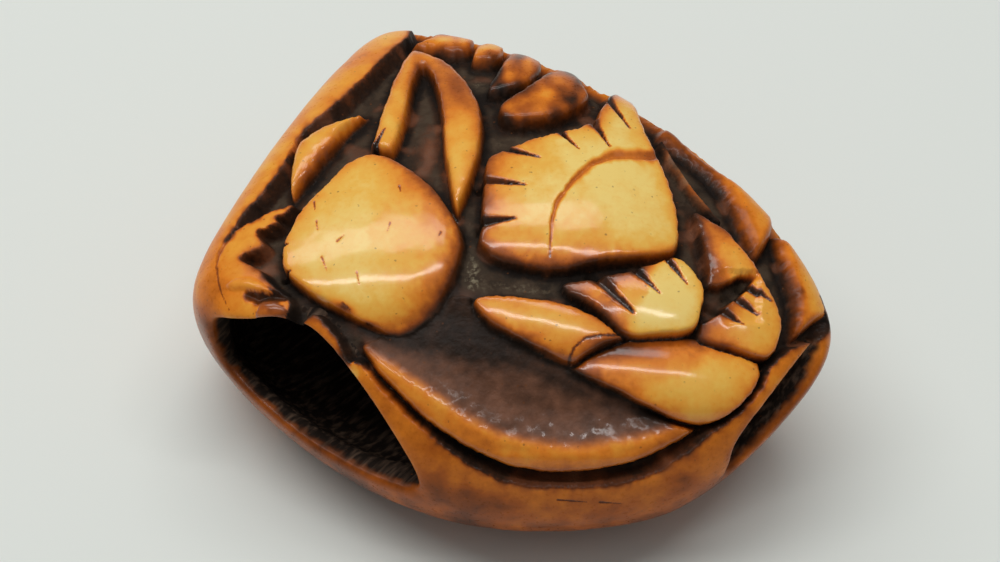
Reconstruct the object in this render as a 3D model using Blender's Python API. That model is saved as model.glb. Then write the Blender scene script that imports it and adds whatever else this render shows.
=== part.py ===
"""Netsuke: a pierced toggle carved from one piece of stag antler.

A flattened, hollow block with a smooth worn rim, two mouths joined by a tunnel,
and overlapping leaves and shell-like plates standing in relief over a deep ground.
It is one solid. Units are metres in Blender and millimetres in the named sizes.
The origin is under the middle of the object, on the surface it rests on.
"""
import bmesh
import bpy
import numpy as np

# ---------------------------------------------------------------- driving dimensions, mm
MM = 0.001
MIDDLE = np.array([-0.55, 0.0, 10.0])   # centre that every face is measured from
FACE_BLEND = 1.2                         # how softly neighbouring faces run together
MOUTH_BLEND = 0.5                        # softness where a mouth meets the tunnel
LIP_BLEND = 0.35                         # rounding of the lips of the mouths
FOOT_HEIGHT = 0.4                        # the belly is rubbed flat this far up

# Faces of the block: azimuth, elevation, distance from MIDDLE, radius of the dome, wall.
FACES = {
    "top": (60, 89, 10.7, 60, 3.6),
    "belly": (-90, -88.5, 10.0, 90, 2.2),
    "left_end": (156, 10, 20.0, 300, 2.4),
    "left_slope": (160, 60, 19.0, 90, 3.0),
    "back": (50, -20, 12.1, 120, 2.6),
    "back_slope": (50, 55, 17.0, 80, 3.6),
    "right_end": (20, 0, 22.2, 120, 2.4),
    "front_right": (-40, -25, 24.0, 90, 1.8),
    "front_left": (-128, -20, 21.0, 46, 1.6),
    "front": (-90, -10.4, 22.8, 90, 3.4),
    "front_slope": (-95.4, 50, 17.5, 60, 4.2),
}

# Mouths of the tunnel: the way each faces, how deep it starts, and the arcs that bound
# it. An arc is the angle of its outward normal, a point on it (across, up) and a radius.
MOUTHS = {
    "left": (-128, 6.0, 0.5, (
        (114, -7.0, 6.1, 60), (53, 4.6, 4.0, 16), (-92, -2.0, -2.0, 60),
        (180, -11.0, 3.0, 14), (0, 8.2, 0.0, 12))),
    "right": (-40, 8.0, 0.4, (
        (100, 2.0, 3.8, 14), (138, -3.2, 2.9, 30), (-62, 1.8, 0.3, 60),
        (180, -3.8, 0.0, 20), (0, 7.4, 3.0, 20))),
}

EYE_HEIGHT = 48.0       # the design is laid out as seen from this elevation, in degrees,
EYE_DISTANCE = 160.0    # and from this far off,
EYE_TARGET = np.array([0.0, 0.0, -2.0])  # looking at this point below MIDDLE
GROUND = -1.3           # depth of the cut-away ground below the block's surface
SPAN_STEPS = 6          # points on each stretch of a smooth outline

MODEL_VOXEL = 0.3       # fineness of the blank before the carving is thinned
TRIANGLES = 9600        # what the finished solid keeps
FARTHEST = 45.0         # no point of the block or of a passage lies further from its middle
HALVINGS = 30           # steps that find where a ray meets a surface
PASSAGE_START = 14.0    # a passage is pulled out from this far along its mouth's way,
PASSAGE_RISE = 2.0      # this much above MIDDLE,
PASSAGE_END = 34.0      # and it ends this far from MIDDLE, in the open
SETTLE_STEPS = 6        # steps that pull points onto the surface of the block
STEP_LIMIT = 0.4        # the longest of those steps
SHARP_ANGLE = 50        # edges sharper than this many degrees stay crisp


# ---------------------------------------------------------------- the block and its tunnel
def direction(azimuth, elevation):
    """Unit vector: azimuth 0 is +X and 90 is +Y, elevation 90 is straight up."""
    turn, lift = np.radians([azimuth, elevation])
    return np.array([np.cos(turn) * np.cos(lift), np.sin(turn) * np.cos(lift), np.sin(lift)])


def soft_max(fields, blend):
    """The largest of some fields, with the crossings rounded."""
    fields = np.stack(fields)
    top = fields.max(axis=0)
    return top + blend * np.log(np.exp((fields - top) / blend).sum(axis=0))


def domed_face(points, azimuth, elevation, distance, radius):
    """Height above a domed face whose crown lies at a distance from MIDDLE."""
    centre = MIDDLE + direction(azimuth, elevation) * (distance - radius)
    return np.linalg.norm(points - centre, axis=-1) - radius


def block(points):
    """Below zero inside the uncarved block."""
    return soft_max([domed_face(points, *face[:4]) for face in FACES.values()], FACE_BLEND)


def tunnel(points):
    """Below zero inside the hollow that follows the block at the walls' thickness."""
    faces = [domed_face(points, azimuth, elevation, distance - wall, radius - wall)
             for azimuth, elevation, distance, radius, wall in FACES.values()]
    return soft_max(faces, FACE_BLEND)


def mouth(points, azimuth, start, blend, arcs):
    """Below zero inside the passage that runs out through the wall."""
    outward = direction(azimuth, 0)
    across = direction(azimuth + 90, 0)
    offset = points - MIDDLE
    along, side, rise = offset @ outward, offset @ across, offset[..., 2]
    limits = [start - along]
    for angle, arc_side, arc_rise, radius in arcs:
        normal = np.array([np.cos(np.radians(angle)), np.sin(np.radians(angle))])
        centre = np.array([arc_side, arc_rise]) - normal * radius
        limits.append(np.hypot(side - centre[0], rise - centre[1]) - radius)
    return soft_max(limits, blend)


def hollow(points):
    """Below zero inside the tunnel and both of its mouths."""
    openings = [tunnel(points)] + [mouth(points, *values) for values in MOUTHS.values()]
    return -soft_max([-field for field in openings], MOUTH_BLEND)


def form(points):
    """Below zero inside the hollow block before it is carved."""
    return soft_max([block(points), -hollow(points)], LIP_BLEND)


def slope(field, points, step=0.02):
    """Gradient of a field, by central differences."""
    columns = []
    for axis in np.eye(3) * step:
        columns.append((field(points + axis) - field(points - axis)) / (2 * step))
    return np.stack(columns, axis=-1)


# ---------------------------------------------------------------- drawing the design
def chart(points, azimuth, elevation, distance):
    """Where points fall on a sheet held square to the eye: across and up, in mm."""
    back = direction(azimuth, elevation)
    right = direction(azimuth + 90, 0)
    up = np.cross(back, right)
    offset = points - MIDDLE - EYE_TARGET
    scale = distance / (distance - offset @ back)
    return np.stack([offset @ right * scale, offset @ up * scale], axis=-1)


def smooth_outline(corners):
    """A closed curve through a few points, the Catmull-Rom way."""
    corners = np.array(corners, dtype=float)
    before, after, later = (np.roll(corners, shift, axis=0) for shift in (1, -1, -2))
    curve = []
    for t in np.arange(SPAN_STEPS) / SPAN_STEPS:
        weights = (-t + 2 * t**2 - t**3, 2 - 5 * t**2 + 3 * t**3,
                   t + 4 * t**2 - 3 * t**3, t**3 - t**2)
        curve.append(0.5 * sum(w * p for w, p in zip(weights, (before, corners, after, later))))
    return np.stack(curve, axis=1).reshape(-1, 2)


def segment_distance(sheet, start, end):
    """Distance from each point of the sheet to one segment, and how far along it is."""
    run = end - start
    along = np.clip((sheet - start) @ run / (run @ run + 1e-12), 0.0, 1.0)
    return np.linalg.norm(sheet - start - along[:, None] * run, axis=1), along


def depth_inside(sheet, outline):
    """Distance to a closed outline, positive inside it and negative outside."""
    nearest = np.full(len(sheet), 1e9)
    inside = np.zeros(len(sheet), dtype=bool)
    for start, end in zip(outline, np.roll(outline, -1, axis=0)):
        nearest = np.minimum(nearest, segment_distance(sheet, start, end)[0])
        crosses = (start[1] > sheet[:, 1]) != (end[1] > sheet[:, 1])
        rise = end[1] - start[1] if end[1] != start[1] else 1e-12
        reach = start[0] + (sheet[:, 1] - start[1]) * (end[0] - start[0]) / rise
        inside ^= crosses & (sheet[:, 0] < reach)
    return np.where(inside, nearest, -nearest)


def ease(value, low, high):
    """A smooth step from 0 at low to 1 at high."""
    t = np.clip((value - low) / (high - low), 0.0, 1.0)
    return t * t * (3 - 2 * t)


def shoulder(inset, width):
    """A rounded edge: 0 at the outline, 1 once the width is passed."""
    return 1 - (1 - np.clip(inset / width, 0.0, 1.0))**2


def nearby(sheet, outline, margin):
    """Which points of the sheet lie in the outline's box and a margin round it."""
    low, high = outline.min(axis=0) - margin, outline.max(axis=0) + margin
    return ((sheet > low) & (sheet < high)).all(axis=1)


# ---------------------------------------------------------------- the carver's cuts
def sink(height, sheet, corners, floor, edge, soft=False):
    """Lower the surface inside an outline to a floor, from a crisp or a soft edge."""
    outline = smooth_outline(corners)
    near = nearby(sheet, outline, 0.1)
    inset = depth_inside(sheet[near], outline)
    share = ease(inset, 0.0, edge) if soft else shoulder(inset, edge)
    height[near] = np.minimum(height[near], floor * share)


def heading(angle):
    """Unit vector on the sheet: 0 is to the right and 90 is up."""
    return np.array([np.cos(np.radians(angle)), np.sin(np.radians(angle))])


def plate_back(sheet, outline, inset, level, crown, reach, tilt, roll):
    """The height of a plate's back.

    It is a dome over the outline's own ellipse, or a cushion as wide as a reach. It
    tilts down towards one side, and it rolls off towards the edge of another side."""
    offset = sheet - outline.mean(axis=0)
    outness = 0.5 * (offset @ np.linalg.inv(np.cov(outline.T)) * offset).sum(axis=1)
    if reach is None:
        back = level + crown * (1 - np.minimum(outness, 1.6))
    else:
        back = level + crown * shoulder(inset, reach)
    if tilt is not None:
        angle, fall = tilt
        farthest = ((outline - outline.mean(axis=0)) @ heading(angle)).max()
        back -= fall * np.clip(offset @ heading(angle) / farthest, -1.2, 1.2)
    if roll is not None:
        angle, drop, start = roll
        toward = offset @ heading(angle) / (np.linalg.norm(offset, axis=1) + 1e-6)
        side = ease(toward, -0.4, 0.9)
        back -= drop * side * np.clip((outness - start) / (1 - start), 0.0, 1.4)**2
    return back


def raise_plate(height, sheet, corners, level, crown, reach=None, edge=0.4, moat=0.4,
                tilt=None, roll=None, merge=False, foot=GROUND):
    """Stand a plate on its foot: round edges, a crowned back and a moat round it.

    A merged plate has no moat, and runs into whatever already stands higher."""
    outline = smooth_outline(corners)
    near = nearby(sheet, outline, moat + 0.1)
    inset = depth_inside(sheet[near], outline)
    inside = inset > 0
    under = height[near]
    beside = np.ones(len(under)) if merge else ease(-inset, 0.0, moat)
    moated = np.minimum(under, foot + (under - foot) * beside)
    back = plate_back(sheet[near], outline, inset, level, crown, reach, tilt, roll)
    top = foot + (back - foot) * shoulder(inset, edge)
    if merge:
        inside &= top > under
    height[near] = np.where(inside, np.maximum(top, GROUND), moated)


def cut(height, sheet, path, width, depth, taper=True):
    """Draw a V cut along a path; a tapered one narrows to nothing at its last point."""
    path = np.array(path, dtype=float)
    near = nearby(sheet, path, width)
    lengths = np.linalg.norm(np.diff(path, axis=0), axis=1)
    travelled = np.concatenate([[0.0], np.cumsum(lengths)]) / lengths.sum()
    deepest = np.zeros(near.sum())
    for index in range(len(path) - 1):
        distance, along = segment_distance(sheet[near], path[index], path[index + 1])
        part = travelled[index] + along * (travelled[index + 1] - travelled[index])
        half = 0.5 * width * (1 - 0.85 * part if taper else 1.0)
        strength = np.clip(1 - distance / half, 0.0, 1.0) * np.sqrt(half / (0.5 * width))
        deepest = np.maximum(deepest, strength)
    height[near] -= depth * deepest


def ridge(height, sheet, path, width, level):
    """Leave a thin ridge standing along a path."""
    path = np.array(path, dtype=float)
    near = nearby(sheet, path, width)
    top = np.zeros(near.sum())
    for start, end in zip(path[:-1], path[1:]):
        distance, _ = segment_distance(sheet[near], start, end)
        top = np.maximum(top, np.clip(1 - (2 * distance / width)**2, 0.0, 1.0))
    height[near] = np.maximum(height[near], GROUND + (level - GROUND) * top)


# ---------------------------------------------------------------- the upper design, mm
BASIN = ((-7.2, 19.0), (-8.5, 18.0), (-10.2, 16.4), (-12.5, 14.1), (-15.2, 11.8), (-17.2, 8.7),
         (-18.9, 6.5), (-20.9, 4.0), (-21.6, 1.9), (-20.6, -1.2), (-19.2, -2.8),
         (-17.2, -3.9), (-15.4, -3.7), (-14.6, -2.7), (-13.7, -2.7), (-12.9, -3.8),
         (-12.1, -5.3), (-10.9, -6.8),
         (-9.2, -9.0), (-6.9, -11.3), (-3.5, -13.9), (0.2, -15.5), (4.0, -16.3),
         (8.0, -16.5), (11.5, -15.8), (14.3, -14.0), (16.7, -12.0), (19.0, -10.0),
         (20.6, -8.0), (21.6, -6.2), (23.2, -5.1), (25.0, -4.6), (25.6, -2.9),
         (23.9, 1.5), (21.4, 6.2), (17.8, 10.5), (13.4, 13.2), (8.2, 16.6), (4.8, 18.2),
         (0.0, 19.4), (-4.7, 20.0), (-6.8, 19.6))
OUTLINES = {
    "disc": ((-17.3, 1.6), (-16.6, 4.1), (-14.5, 6.9), (-11.3, 9.8), (-9.0, 10.1),
             (-6.2, 8.5), (-3.8, 5.9), (-2.7, 3.0), (-4.7, -1.5), (-8.2, -4.0),
             (-12.9, -2.3), (-16.3, -0.1)),
    "fold": ((-10.3, 10.0), (-9.6, 13.0), (-8.2, 16.6), (-7.2, 18.2), (-6.0, 18.3),
             (-4.0, 17.4), (-2.4, 15.8), (-1.4, 13.8), (-1.3, 11.4), (-1.9, 9.0), (-2.8, 6.6),
             (-3.5, 5.4), (-4.0, 7.2), (-4.5, 10.2), (-4.7, 13.0), (-5.2, 15.4), (-6.0, 16.9),
             (-6.7, 15.6), (-7.3, 13.2), (-8.1, 10.8), (-9.2, 9.6)),
    "lens_leaf": ((-10.5, 13.6), (-13.7, 12.4), (-15.8, 10.9), (-16.7, 8.5), (-16.5, 6.8),
                  (-15.5, 8.0), (-13.7, 10.1), (-12.1, 12.0)),
    "corner_leaf": ((-22.6, 1.6), (-20.7, 3.9), (-18.4, 5.2), (-15.8, 6.1), (-16.8, 4.6),
                    (-17.6, 2.8), (-17.8, 0.9), (-16.4, -1.3), (-18.4, -1.5), (-20.2, -3.4),
                    (-23.0, -2.4), (-23.4, -0.3)),
    "knob": ((-19.2, -1.5), (-18.0, -1.1), (-16.5, -2.0), (-16.7, -3.3), (-18.1, -3.7),
             (-19.3, -2.8)),
    "top_strip": ((-7.2, 18.5), (-6.4, 19.1), (-4.3, 19.7), (-1.7, 19.3), (-2.2, 18.4),
                  (-3.9, 18.1), (-5.6, 18.4)),
    "top_bead": ((-2.3, 17.7), (-1.6, 18.8), (0.0, 18.9), (0.6, 18.2), (-0.2, 17.4),
                 (-1.6, 17.3)),
    "top_lump": ((-1.1, 15.1), (-0.4, 16.6), (0.8, 18.2), (2.7, 18.3), (3.5, 17.1),
                 (2.7, 15.7), (0.8, 15.1)),
    "top_oval": ((-0.2, 13.9), (0.9, 14.7), (2.3, 15.5), (4.1, 16.8), (5.9, 16.5),
                 (7.2, 14.8), (6.1, 13.6), (3.5, 12.7), (0.4, 12.7)),
    "wing": ((-1.3, 9.1), (-0.4, 10.2), (2.3, 11.2), (5.1, 11.8), (7.2, 12.6), (8.0, 15.6),
             (10.2, 14.0), (11.4, 11.8), (13.1, 8.4), (14.1, 5.2), (14.1, 2.8),
             (12.3, 2.0), (7.8, 1.5), (4.5, 1.0), (1.2, 1.5), (-1.6, 2.8), (-1.6, 5.2)),
    "mid_leaf": ((-2.2, -1.4), (-1.4, -0.8), (0.6, -0.8), (3.2, -1.1), (6.0, -1.7),
                 (8.3, -2.9), (10.1, -4.2), (8.5, -4.9), (6.9, -5.8), (5.6, -6.6),
                 (3.5, -5.6), (0.9, -4.3), (-1.3, -2.8)),
    "shell": ((4.9, 0.0), (7.0, 0.5), (9.6, 0.8), (11.9, 1.5), (13.6, 2.1), (15.1, 1.2), (16.0, -0.9),
              (15.7, -3.1), (14.6, -4.1), (12.1, -4.3), (9.8, -4.2), (7.5, -2.2)),
    "side_shell": ((15.4, 5.8), (17.3, 4.7), (19.1, 2.7), (20.7, 0.2), (22.1, -2.7),
                   (22.0, -4.8), (20.8, -6.2), (18.0, -5.3), (15.7, -4.3), (15.9, -1.5),
                   (16.1, 1.3), (15.7, 3.8)),
    "side_pit": ((15.9, -0.5), (17.5, -0.1), (19.0, 0.6), (20.0, 0.5), (19.3, -0.3), (20.7, -1.5),
                 (18.4, -1.2), (18.3, -1.7), (20.2, -2.6), (17.6, -2.3), (17.2, -2.7), (18.5, -3.5),
                 (15.8, -3.3)),
    "low_leaf": ((5.4, -6.6), (7.6, -5.2), (10.3, -4.0), (15.6, -4.0), (19.9, -5.4),
                 (20.8, -6.9), (20.2, -8.4), (18.5, -10.2), (16.0, -11.6), (13.4, -10.9),
                 (9.4, -8.9)),
    "crescent": ((-11.1, -4.9), (-10.4, -6.5), (-8.2, -9.2), (-4.9, -11.8), (0.0, -14.3),
                 (4.7, -15.2), (9.4, -15.0), (13.3, -13.7), (15.8, -11.6), (12.9, -9.7),
                 (6.7, -6.0), (1.0, -3.2), (-3.1, -0.5), (-7.8, -2.9), (-9.8, -4.1)),
    "dish": ((-12.2, -3.4), (-11.0, -5.2), (-9.7, -6.2), (-7.3, -7.6), (-3.9, -9.9), (0.0, -11.7), (4.7, -12.6),
             (9.4, -12.4), (13.6, -11.4), (15.5, -8.9), (9.0, -4.6), (1.6, -1.0), (-5.5, 1.0),
             (-10.0, -1.5)),
    "back_strip": ((12.3, 11.7), (14.6, 10.2), (16.4, 8.8), (18.0, 6.6), (19.1, 3.9),
                   (20.1, 2.0), (21.2, 2.9), (21.9, 4.4), (21.6, 6.8), (18.0, 11.2),
                   (14.0, 13.4)),
    "right_strip": ((21.8, 3.7), (22.5, 0.7), (23.1, -1.5), (23.0, -3.4), (23.4, -4.5),
                    (25.2, -3.2), (26.6, -2.9), (25.5, 1.0), (23.0, 4.6)),
}

# Notches in the plates: from the outline to the tip, then the width at the outline.
NOTCHES = (
    ((-1.7, 7.9), (2.0, 7.3), 0.7), ((0.0, 10.4), (3.1, 9.4), 0.6),
    ((4.5, 11.6), (6.1, 10.0), 0.5), ((7.2, 12.3), (8.5, 10.2), 0.6),
    ((8.3, 14.3), (10.1, 11.7), 0.5), ((-1.7, 4.6), (1.2, 4.8), 0.9),
    ((7.3, 0.8), (10.4, -2.6), 1.3), ((10.5, 0.9), (12.4, -1.2), 0.7),
    ((13.2, 1.6), (14.5, -0.4), 0.6), ((-16.3, 5.2), (-17.5, 5.2), 0.6),
    ((-16.6, 3.8), (-19.2, 3.9), 1.1), ((-16.8, 1.5), (-20.2, 1.9), 1.8),
    ((-17.5, 2.7), (-16.4, 2.7), 0.4), ((-17.5, 0.6), (-16.2, 0.7), 0.4),
    ((-10.0, 10.2), (-9.0, 11.9), 0.5),
)
NOTCH_DEPTH = 0.6
WING_ARC = ((12.0, 9.6), (8.8, 9.5), (7.0, 8.8), (5.6, 7.5), (4.4, 5.9), (4.0, 4.4), (3.9, 2.0))
THIN_RIDGE = ((12.8, 11.2), (13.6, 9.7), (15.3, 7.3), (17.3, 4.9))
LEAF_EDGE = ((-18.6, 5.4), (-19.8, 4.6), (-20.9, 3.6), (-21.7, 2.4), (-22.0, 1.2))


def upper_design(sheet):
    """Height of the carving over the block's surface, as the carver laid it out."""
    height = np.zeros(len(sheet))

    def plate(name, *sizes, **more):
        raise_plate(height, sheet, OUTLINES[name], *sizes, **more)

    sink(height, sheet, BASIN, GROUND, edge=0.5)
    ridge(height, sheet, THIN_RIDGE, width=0.6, level=-0.4)
    plate("back_strip", -0.1, 0.1, 1.2, edge=1.0, tilt=(210, 0.2), merge=True)
    plate("right_strip", -0.1, 0.1, 1.0, edge=0.8, merge=True)
    plate("top_strip", -0.2, 0.2, 0.8, moat=0.3)
    plate("top_bead", -0.2, 0.3, moat=0.2)
    plate("top_lump", -0.3, 0.4, moat=0.3)
    plate("top_oval", -0.1, 0.4, moat=0.5)
    plate("lens_leaf", -0.3, 0.5, 1.2, moat=0.2, tilt=(-45, 0.15))
    plate("corner_leaf", -0.3, 0.3, 2.0, merge=True)
    plate("knob", -0.3, 0.4, 1.0, moat=0.2)
    plate("fold", -0.2, 0.3, 1.2)
    plate("crescent", -0.3, 0.4, 1.8, edge=0.8)
    sink(height, sheet, OUTLINES["dish"], -1.1, edge=2.6, soft=True)
    plate("low_leaf", -0.3, 0.6, moat=0.3, tilt=(95, 0.6), roll=(-70, 0.5, 0.3))
    plate("side_shell", -0.1, 0.4, moat=0.2, tilt=(180, 0.3), foot=-0.9)
    sink(height, sheet, OUTLINES["side_pit"], -1.0, edge=0.4)
    plate("mid_leaf", -0.3, 0.7, moat=0.3, tilt=(70, 0.25), roll=(-100, 0.3, 0.3))
    plate("shell", 0.0, 0.4, edge=0.35, moat=0.2, tilt=(150, 0.4), foot=-0.9)
    plate("wing", 0.1, 0.4, roll=(-95, 0.6, 0.15))
    plate("disc", 0.2, 0.4, edge=0.5, moat=0.5, roll=(-85, 0.8, 0.35))
    cut(height, sheet, WING_ARC, width=0.9, depth=0.4)
    cut(height, sheet, LEAF_EDGE, width=0.6, depth=0.25)
    for start, tip, width in NOTCHES:
        cut(height, sheet, (start, tip), width, NOTCH_DEPTH)
    return height


# ---------------------------------------------------------------- the plainer hidden sides
def leaf_outline(base, tip, width, points=5):
    """A pointed leaf from base to tip, as outline corners."""
    base, tip = np.array(base, dtype=float), np.array(tip, dtype=float)
    run = tip - base
    side = np.array([-run[1], run[0]]) / np.hypot(*run)
    near, far = [], []
    for t in np.arange(1, points) / points:
        middle = base + run * t
        bulge = side * 0.5 * width * np.sin(np.pi * t**0.8)
        near.append(middle + bulge)
        far.append(middle - bulge)
    return [base] + near + [tip] + far[::-1]


def side_design(sheet, panel, leaves):
    """Long overlapping leaves in a shallow sunk panel."""
    height = np.zeros(len(sheet))
    sink(height, sheet, leaf_outline(*panel, points=8), 0.6 * GROUND, edge=1.0)
    for base, tip, width in leaves:
        raise_plate(height, sheet, leaf_outline(base, tip, width), -0.2, 0.3, 2.0, edge=1.0)
    return height


def back_design(sheet):
    """Three leaves along the back wall."""
    leaves = (((-17, -3), (2, 3), 5.5), ((-7, -4), (12, 3.5), 5.5), ((4, -4), (18, 1), 5.0))
    return side_design(sheet, ((-21, -1), (20, 1), 17), leaves)


def end_design(sheet):
    """Two leaves on the flat left end."""
    leaves = (((-12, -3), (3, 3), 5.0), ((-2, -4), (12, 2.5), 5.0))
    return side_design(sheet, ((-14, -1), (14, 1), 13), leaves)


PAD_RADIUS = 6.5
BELLY_PANEL = ((-16.5, 8.0), (-13.0, -5.0), (-8.5, -15.0), (-1.0, -10.5), (8.0, -3.5),
               (17.0, 6.0), (13.5, 13.5), (4.0, 16.5), (-6.0, 15.5), (-13.5, 12.5))
BELLY_TIPS = ((-13.5, 9.0), (-5.0, 14.0), (5.5, 14.5), (14.5, 8.0), (10.5, -0.5), (-8.0, -12.5),
              (-12.5, -2.0))


def belly_design(sheet):
    """Plain leaves round the raised pad that the netsuke rests on."""
    height = np.zeros(len(sheet))
    sink(height, sheet, BELLY_PANEL, 0.6 * GROUND, edge=1.0)
    for tip in BELLY_TIPS:
        base = 0.8 * PAD_RADIUS * np.array(tip) / np.hypot(*tip)
        raise_plate(height, sheet, leaf_outline(base, tip, 5.5), -0.25, 0.2, 2.0, edge=1.0)
    turns = 2 * np.pi * np.arange(12) / 12
    pad = PAD_RADIUS * np.stack([np.cos(turns), np.sin(turns)], axis=1)
    raise_plate(height, sheet, pad, 0.0, 0.0, 1.0, edge=1.0)
    return height


# Each design: where it is drawn from, and how squarely a surface must face it.
DESIGNS = (
    (upper_design, -90, EYE_HEIGHT, EYE_DISTANCE, -0.45, -0.25),
    (back_design, 50, -8, 400.0, 0.35, 0.6),
    (end_design, 156, 2, 400.0, 0.5, 0.75),
    (belly_design, -90, -89.9, 400.0, 0.6, 0.85),
)


def carve(points):
    """Move points of the hollow block in or out along the block's own surface normal."""
    normal = slope(block, points)
    normal /= np.linalg.norm(normal, axis=1, keepdims=True)
    on_block = ease(block(points), -1.3, -0.25)
    total = np.zeros(len(points))
    free = on_block.copy()
    for design, azimuth, elevation, distance, low, high in DESIGNS:
        eye = MIDDLE + direction(azimuth, elevation) * distance
        sight = eye - points
        sight /= np.linalg.norm(sight, axis=1, keepdims=True)
        facing = ease((normal * sight).sum(axis=1), low, high) * free
        free -= facing
        worked = facing > 0
        sheet = chart(points[worked], azimuth, elevation, distance)
        total[worked] += design(sheet) * facing[worked]
    return points + normal * total[:, None]


# ---------------------------------------------------------------- Blender work
def clear_scene():
    """Start from an empty scene."""
    for thing in list(bpy.data.objects):
        bpy.data.objects.remove(thing, do_unlink=True)


def blank(name, field, centre, subdivisions):
    """A ball pulled out from a centre until it meets the surface of a field."""
    work = bmesh.new()
    bmesh.ops.create_icosphere(work, subdivisions=subdivisions, radius=1.0)
    rays = np.array([vert.co for vert in work.verts])
    rays /= np.linalg.norm(rays, axis=1, keepdims=True)
    near, far = np.zeros(len(rays)), np.full(len(rays), FARTHEST)
    for _ in range(HALVINGS):
        middle = 0.5 * (near + far)
        inside = field(centre + rays * middle[:, None]) < 0
        near, far = np.where(inside, middle, near), np.where(inside, far, middle)
    for vert, place in zip(work.verts, centre + rays * near[:, None]):
        vert.co = place
    mesh = bpy.data.meshes.new(name)
    work.to_mesh(mesh)
    work.free()
    thing = bpy.data.objects.new(name, mesh)
    bpy.context.scene.collection.objects.link(thing)
    return thing


def baked(thing):
    """The mesh of an object with its modifiers applied."""
    bpy.context.view_layer.update()
    graph = bpy.context.evaluated_depsgraph_get()
    return bpy.data.meshes.new_from_object(thing.evaluated_get(graph))


def passage(values):
    """The field of one mouth, closed off outside the block so that it has an end."""
    def field(points):
        beyond = np.linalg.norm(points - MIDDLE, axis=-1) - PASSAGE_END
        return np.maximum(mouth(points, *values), beyond)
    return field


def hollow_block():
    """The block with the tunnel and its mouths cut away, as an even, fine mesh."""
    thing = blank("netsuke", block, MIDDLE, 6)
    cutters = [blank("tunnel_cutter", tunnel, MIDDLE, 5)]
    for name, values in MOUTHS.items():
        start = MIDDLE + direction(values[0], 0) * PASSAGE_START
        start[2] += PASSAGE_RISE
        cutters.append(blank(name + "_mouth_cutter", passage(values), start, 5))
    for cutter in cutters:
        boolean = thing.modifiers.new(cutter.name, "BOOLEAN")
        boolean.operation = "DIFFERENCE"
        boolean.solver = "EXACT"
        boolean.object = cutter
    remesh = thing.modifiers.new("even", "REMESH")
    remesh.mode = "VOXEL"
    remesh.voxel_size = MODEL_VOXEL
    mesh = baked(thing)
    thing.modifiers.clear()
    thing.data = mesh
    for cutter in cutters:
        bpy.data.objects.remove(cutter, do_unlink=True)
    return thing


def settle(points):
    """Pull points onto the surface of the hollow block."""
    for _ in range(SETTLE_STEPS):
        gradient = slope(form, points)
        size = (gradient**2).sum(axis=1, keepdims=True)
        step = np.clip(form(points)[:, None] / size, -STEP_LIMIT, STEP_LIMIT)
        points = points - step * gradient
    return points


def vertex_array(mesh):
    """The vertices of a mesh as an array."""
    places = np.empty(len(mesh.vertices) * 3, dtype=np.float32)
    mesh.vertices.foreach_get("co", places)
    return places.reshape(-1, 3).astype(float)


def thinned(thing):
    """Drop triangles where the surface is plain, and keep them along the cuts."""
    count = sum(len(face.vertices) - 2 for face in thing.data.polygons)
    decimate = thing.modifiers.new("thin", "DECIMATE")
    decimate.ratio = TRIANGLES / count
    decimate.use_collapse_triangulate = True
    mesh = baked(thing)
    thing.modifiers.clear()
    thing.data = mesh


def rub_foot(thing):
    """Rub the belly flat, so that the netsuke stands on a true plane at height 0."""
    work = bmesh.new()
    work.from_mesh(thing.data)
    parts = work.verts[:] + work.edges[:] + work.faces[:]
    bmesh.ops.bisect_plane(work, geom=parts, dist=1e-5, plane_co=(0, 0, FOOT_HEIGHT),
                           plane_no=(0, 0, 1), clear_inner=True)
    rim = [edge for edge in work.edges if edge.is_boundary]
    bmesh.ops.contextual_create(work, geom=rim)
    bmesh.ops.translate(work, verts=work.verts, vec=(0, 0, -FOOT_HEIGHT))
    bmesh.ops.scale(work, verts=work.verts, vec=(MM, MM, MM))
    bmesh.ops.triangulate(work, faces=work.faces)
    bmesh.ops.recalc_face_normals(work, faces=work.faces)
    work.to_mesh(thing.data)
    work.free()


def antler():
    """Polished stag antler, stained amber by handling."""
    material = bpy.data.materials.new("antler")
    material.use_nodes = True
    shader = material.node_tree.nodes["Principled BSDF"]
    shader.inputs["Base Color"].default_value = (0.62, 0.30, 0.07, 1.0)
    shader.inputs["Roughness"].default_value = 0.3
    shader.inputs["Metallic"].default_value = 0.0
    return material


def build():
    """Make the one solid."""
    clear_scene()
    thing = hollow_block()
    points = carve(settle(vertex_array(thing.data)))
    thing.data.vertices.foreach_set("co", points.astype(np.float32).ravel())
    thinned(thing)
    rub_foot(thing)
    thing.data.materials.clear()
    thing.data.materials.append(antler())
    thing.data.shade_smooth()
    thing.data.set_sharp_from_angle(angle=np.radians(SHARP_ANGLE))
    places = vertex_array(thing.data) / MM
    print("box", places.min(axis=0).round(2), places.max(axis=0).round(2),
          "triangles", len(thing.data.polygons))


build()
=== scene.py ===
# %% [markdown]
# # A pierced netsuke of stag antler
# A netsuke is the small toggle that kept a pouch from slipping through a sash. This one
# is a flattened, hollow block of antler. A cord ran through the tunnel inside it. Its
# upper side is carved with leaves and shell-like plates that overlap like scales, and
# years of handling have polished the high parts pale and left the deep parts dark.
#
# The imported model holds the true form. This lesson builds the same form again with a
# much finer surface, carves it, stains it and lights it.

import bmesh
import bpy
import numpy as np
from mathutils import Matrix, Vector, kdtree, noise


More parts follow.
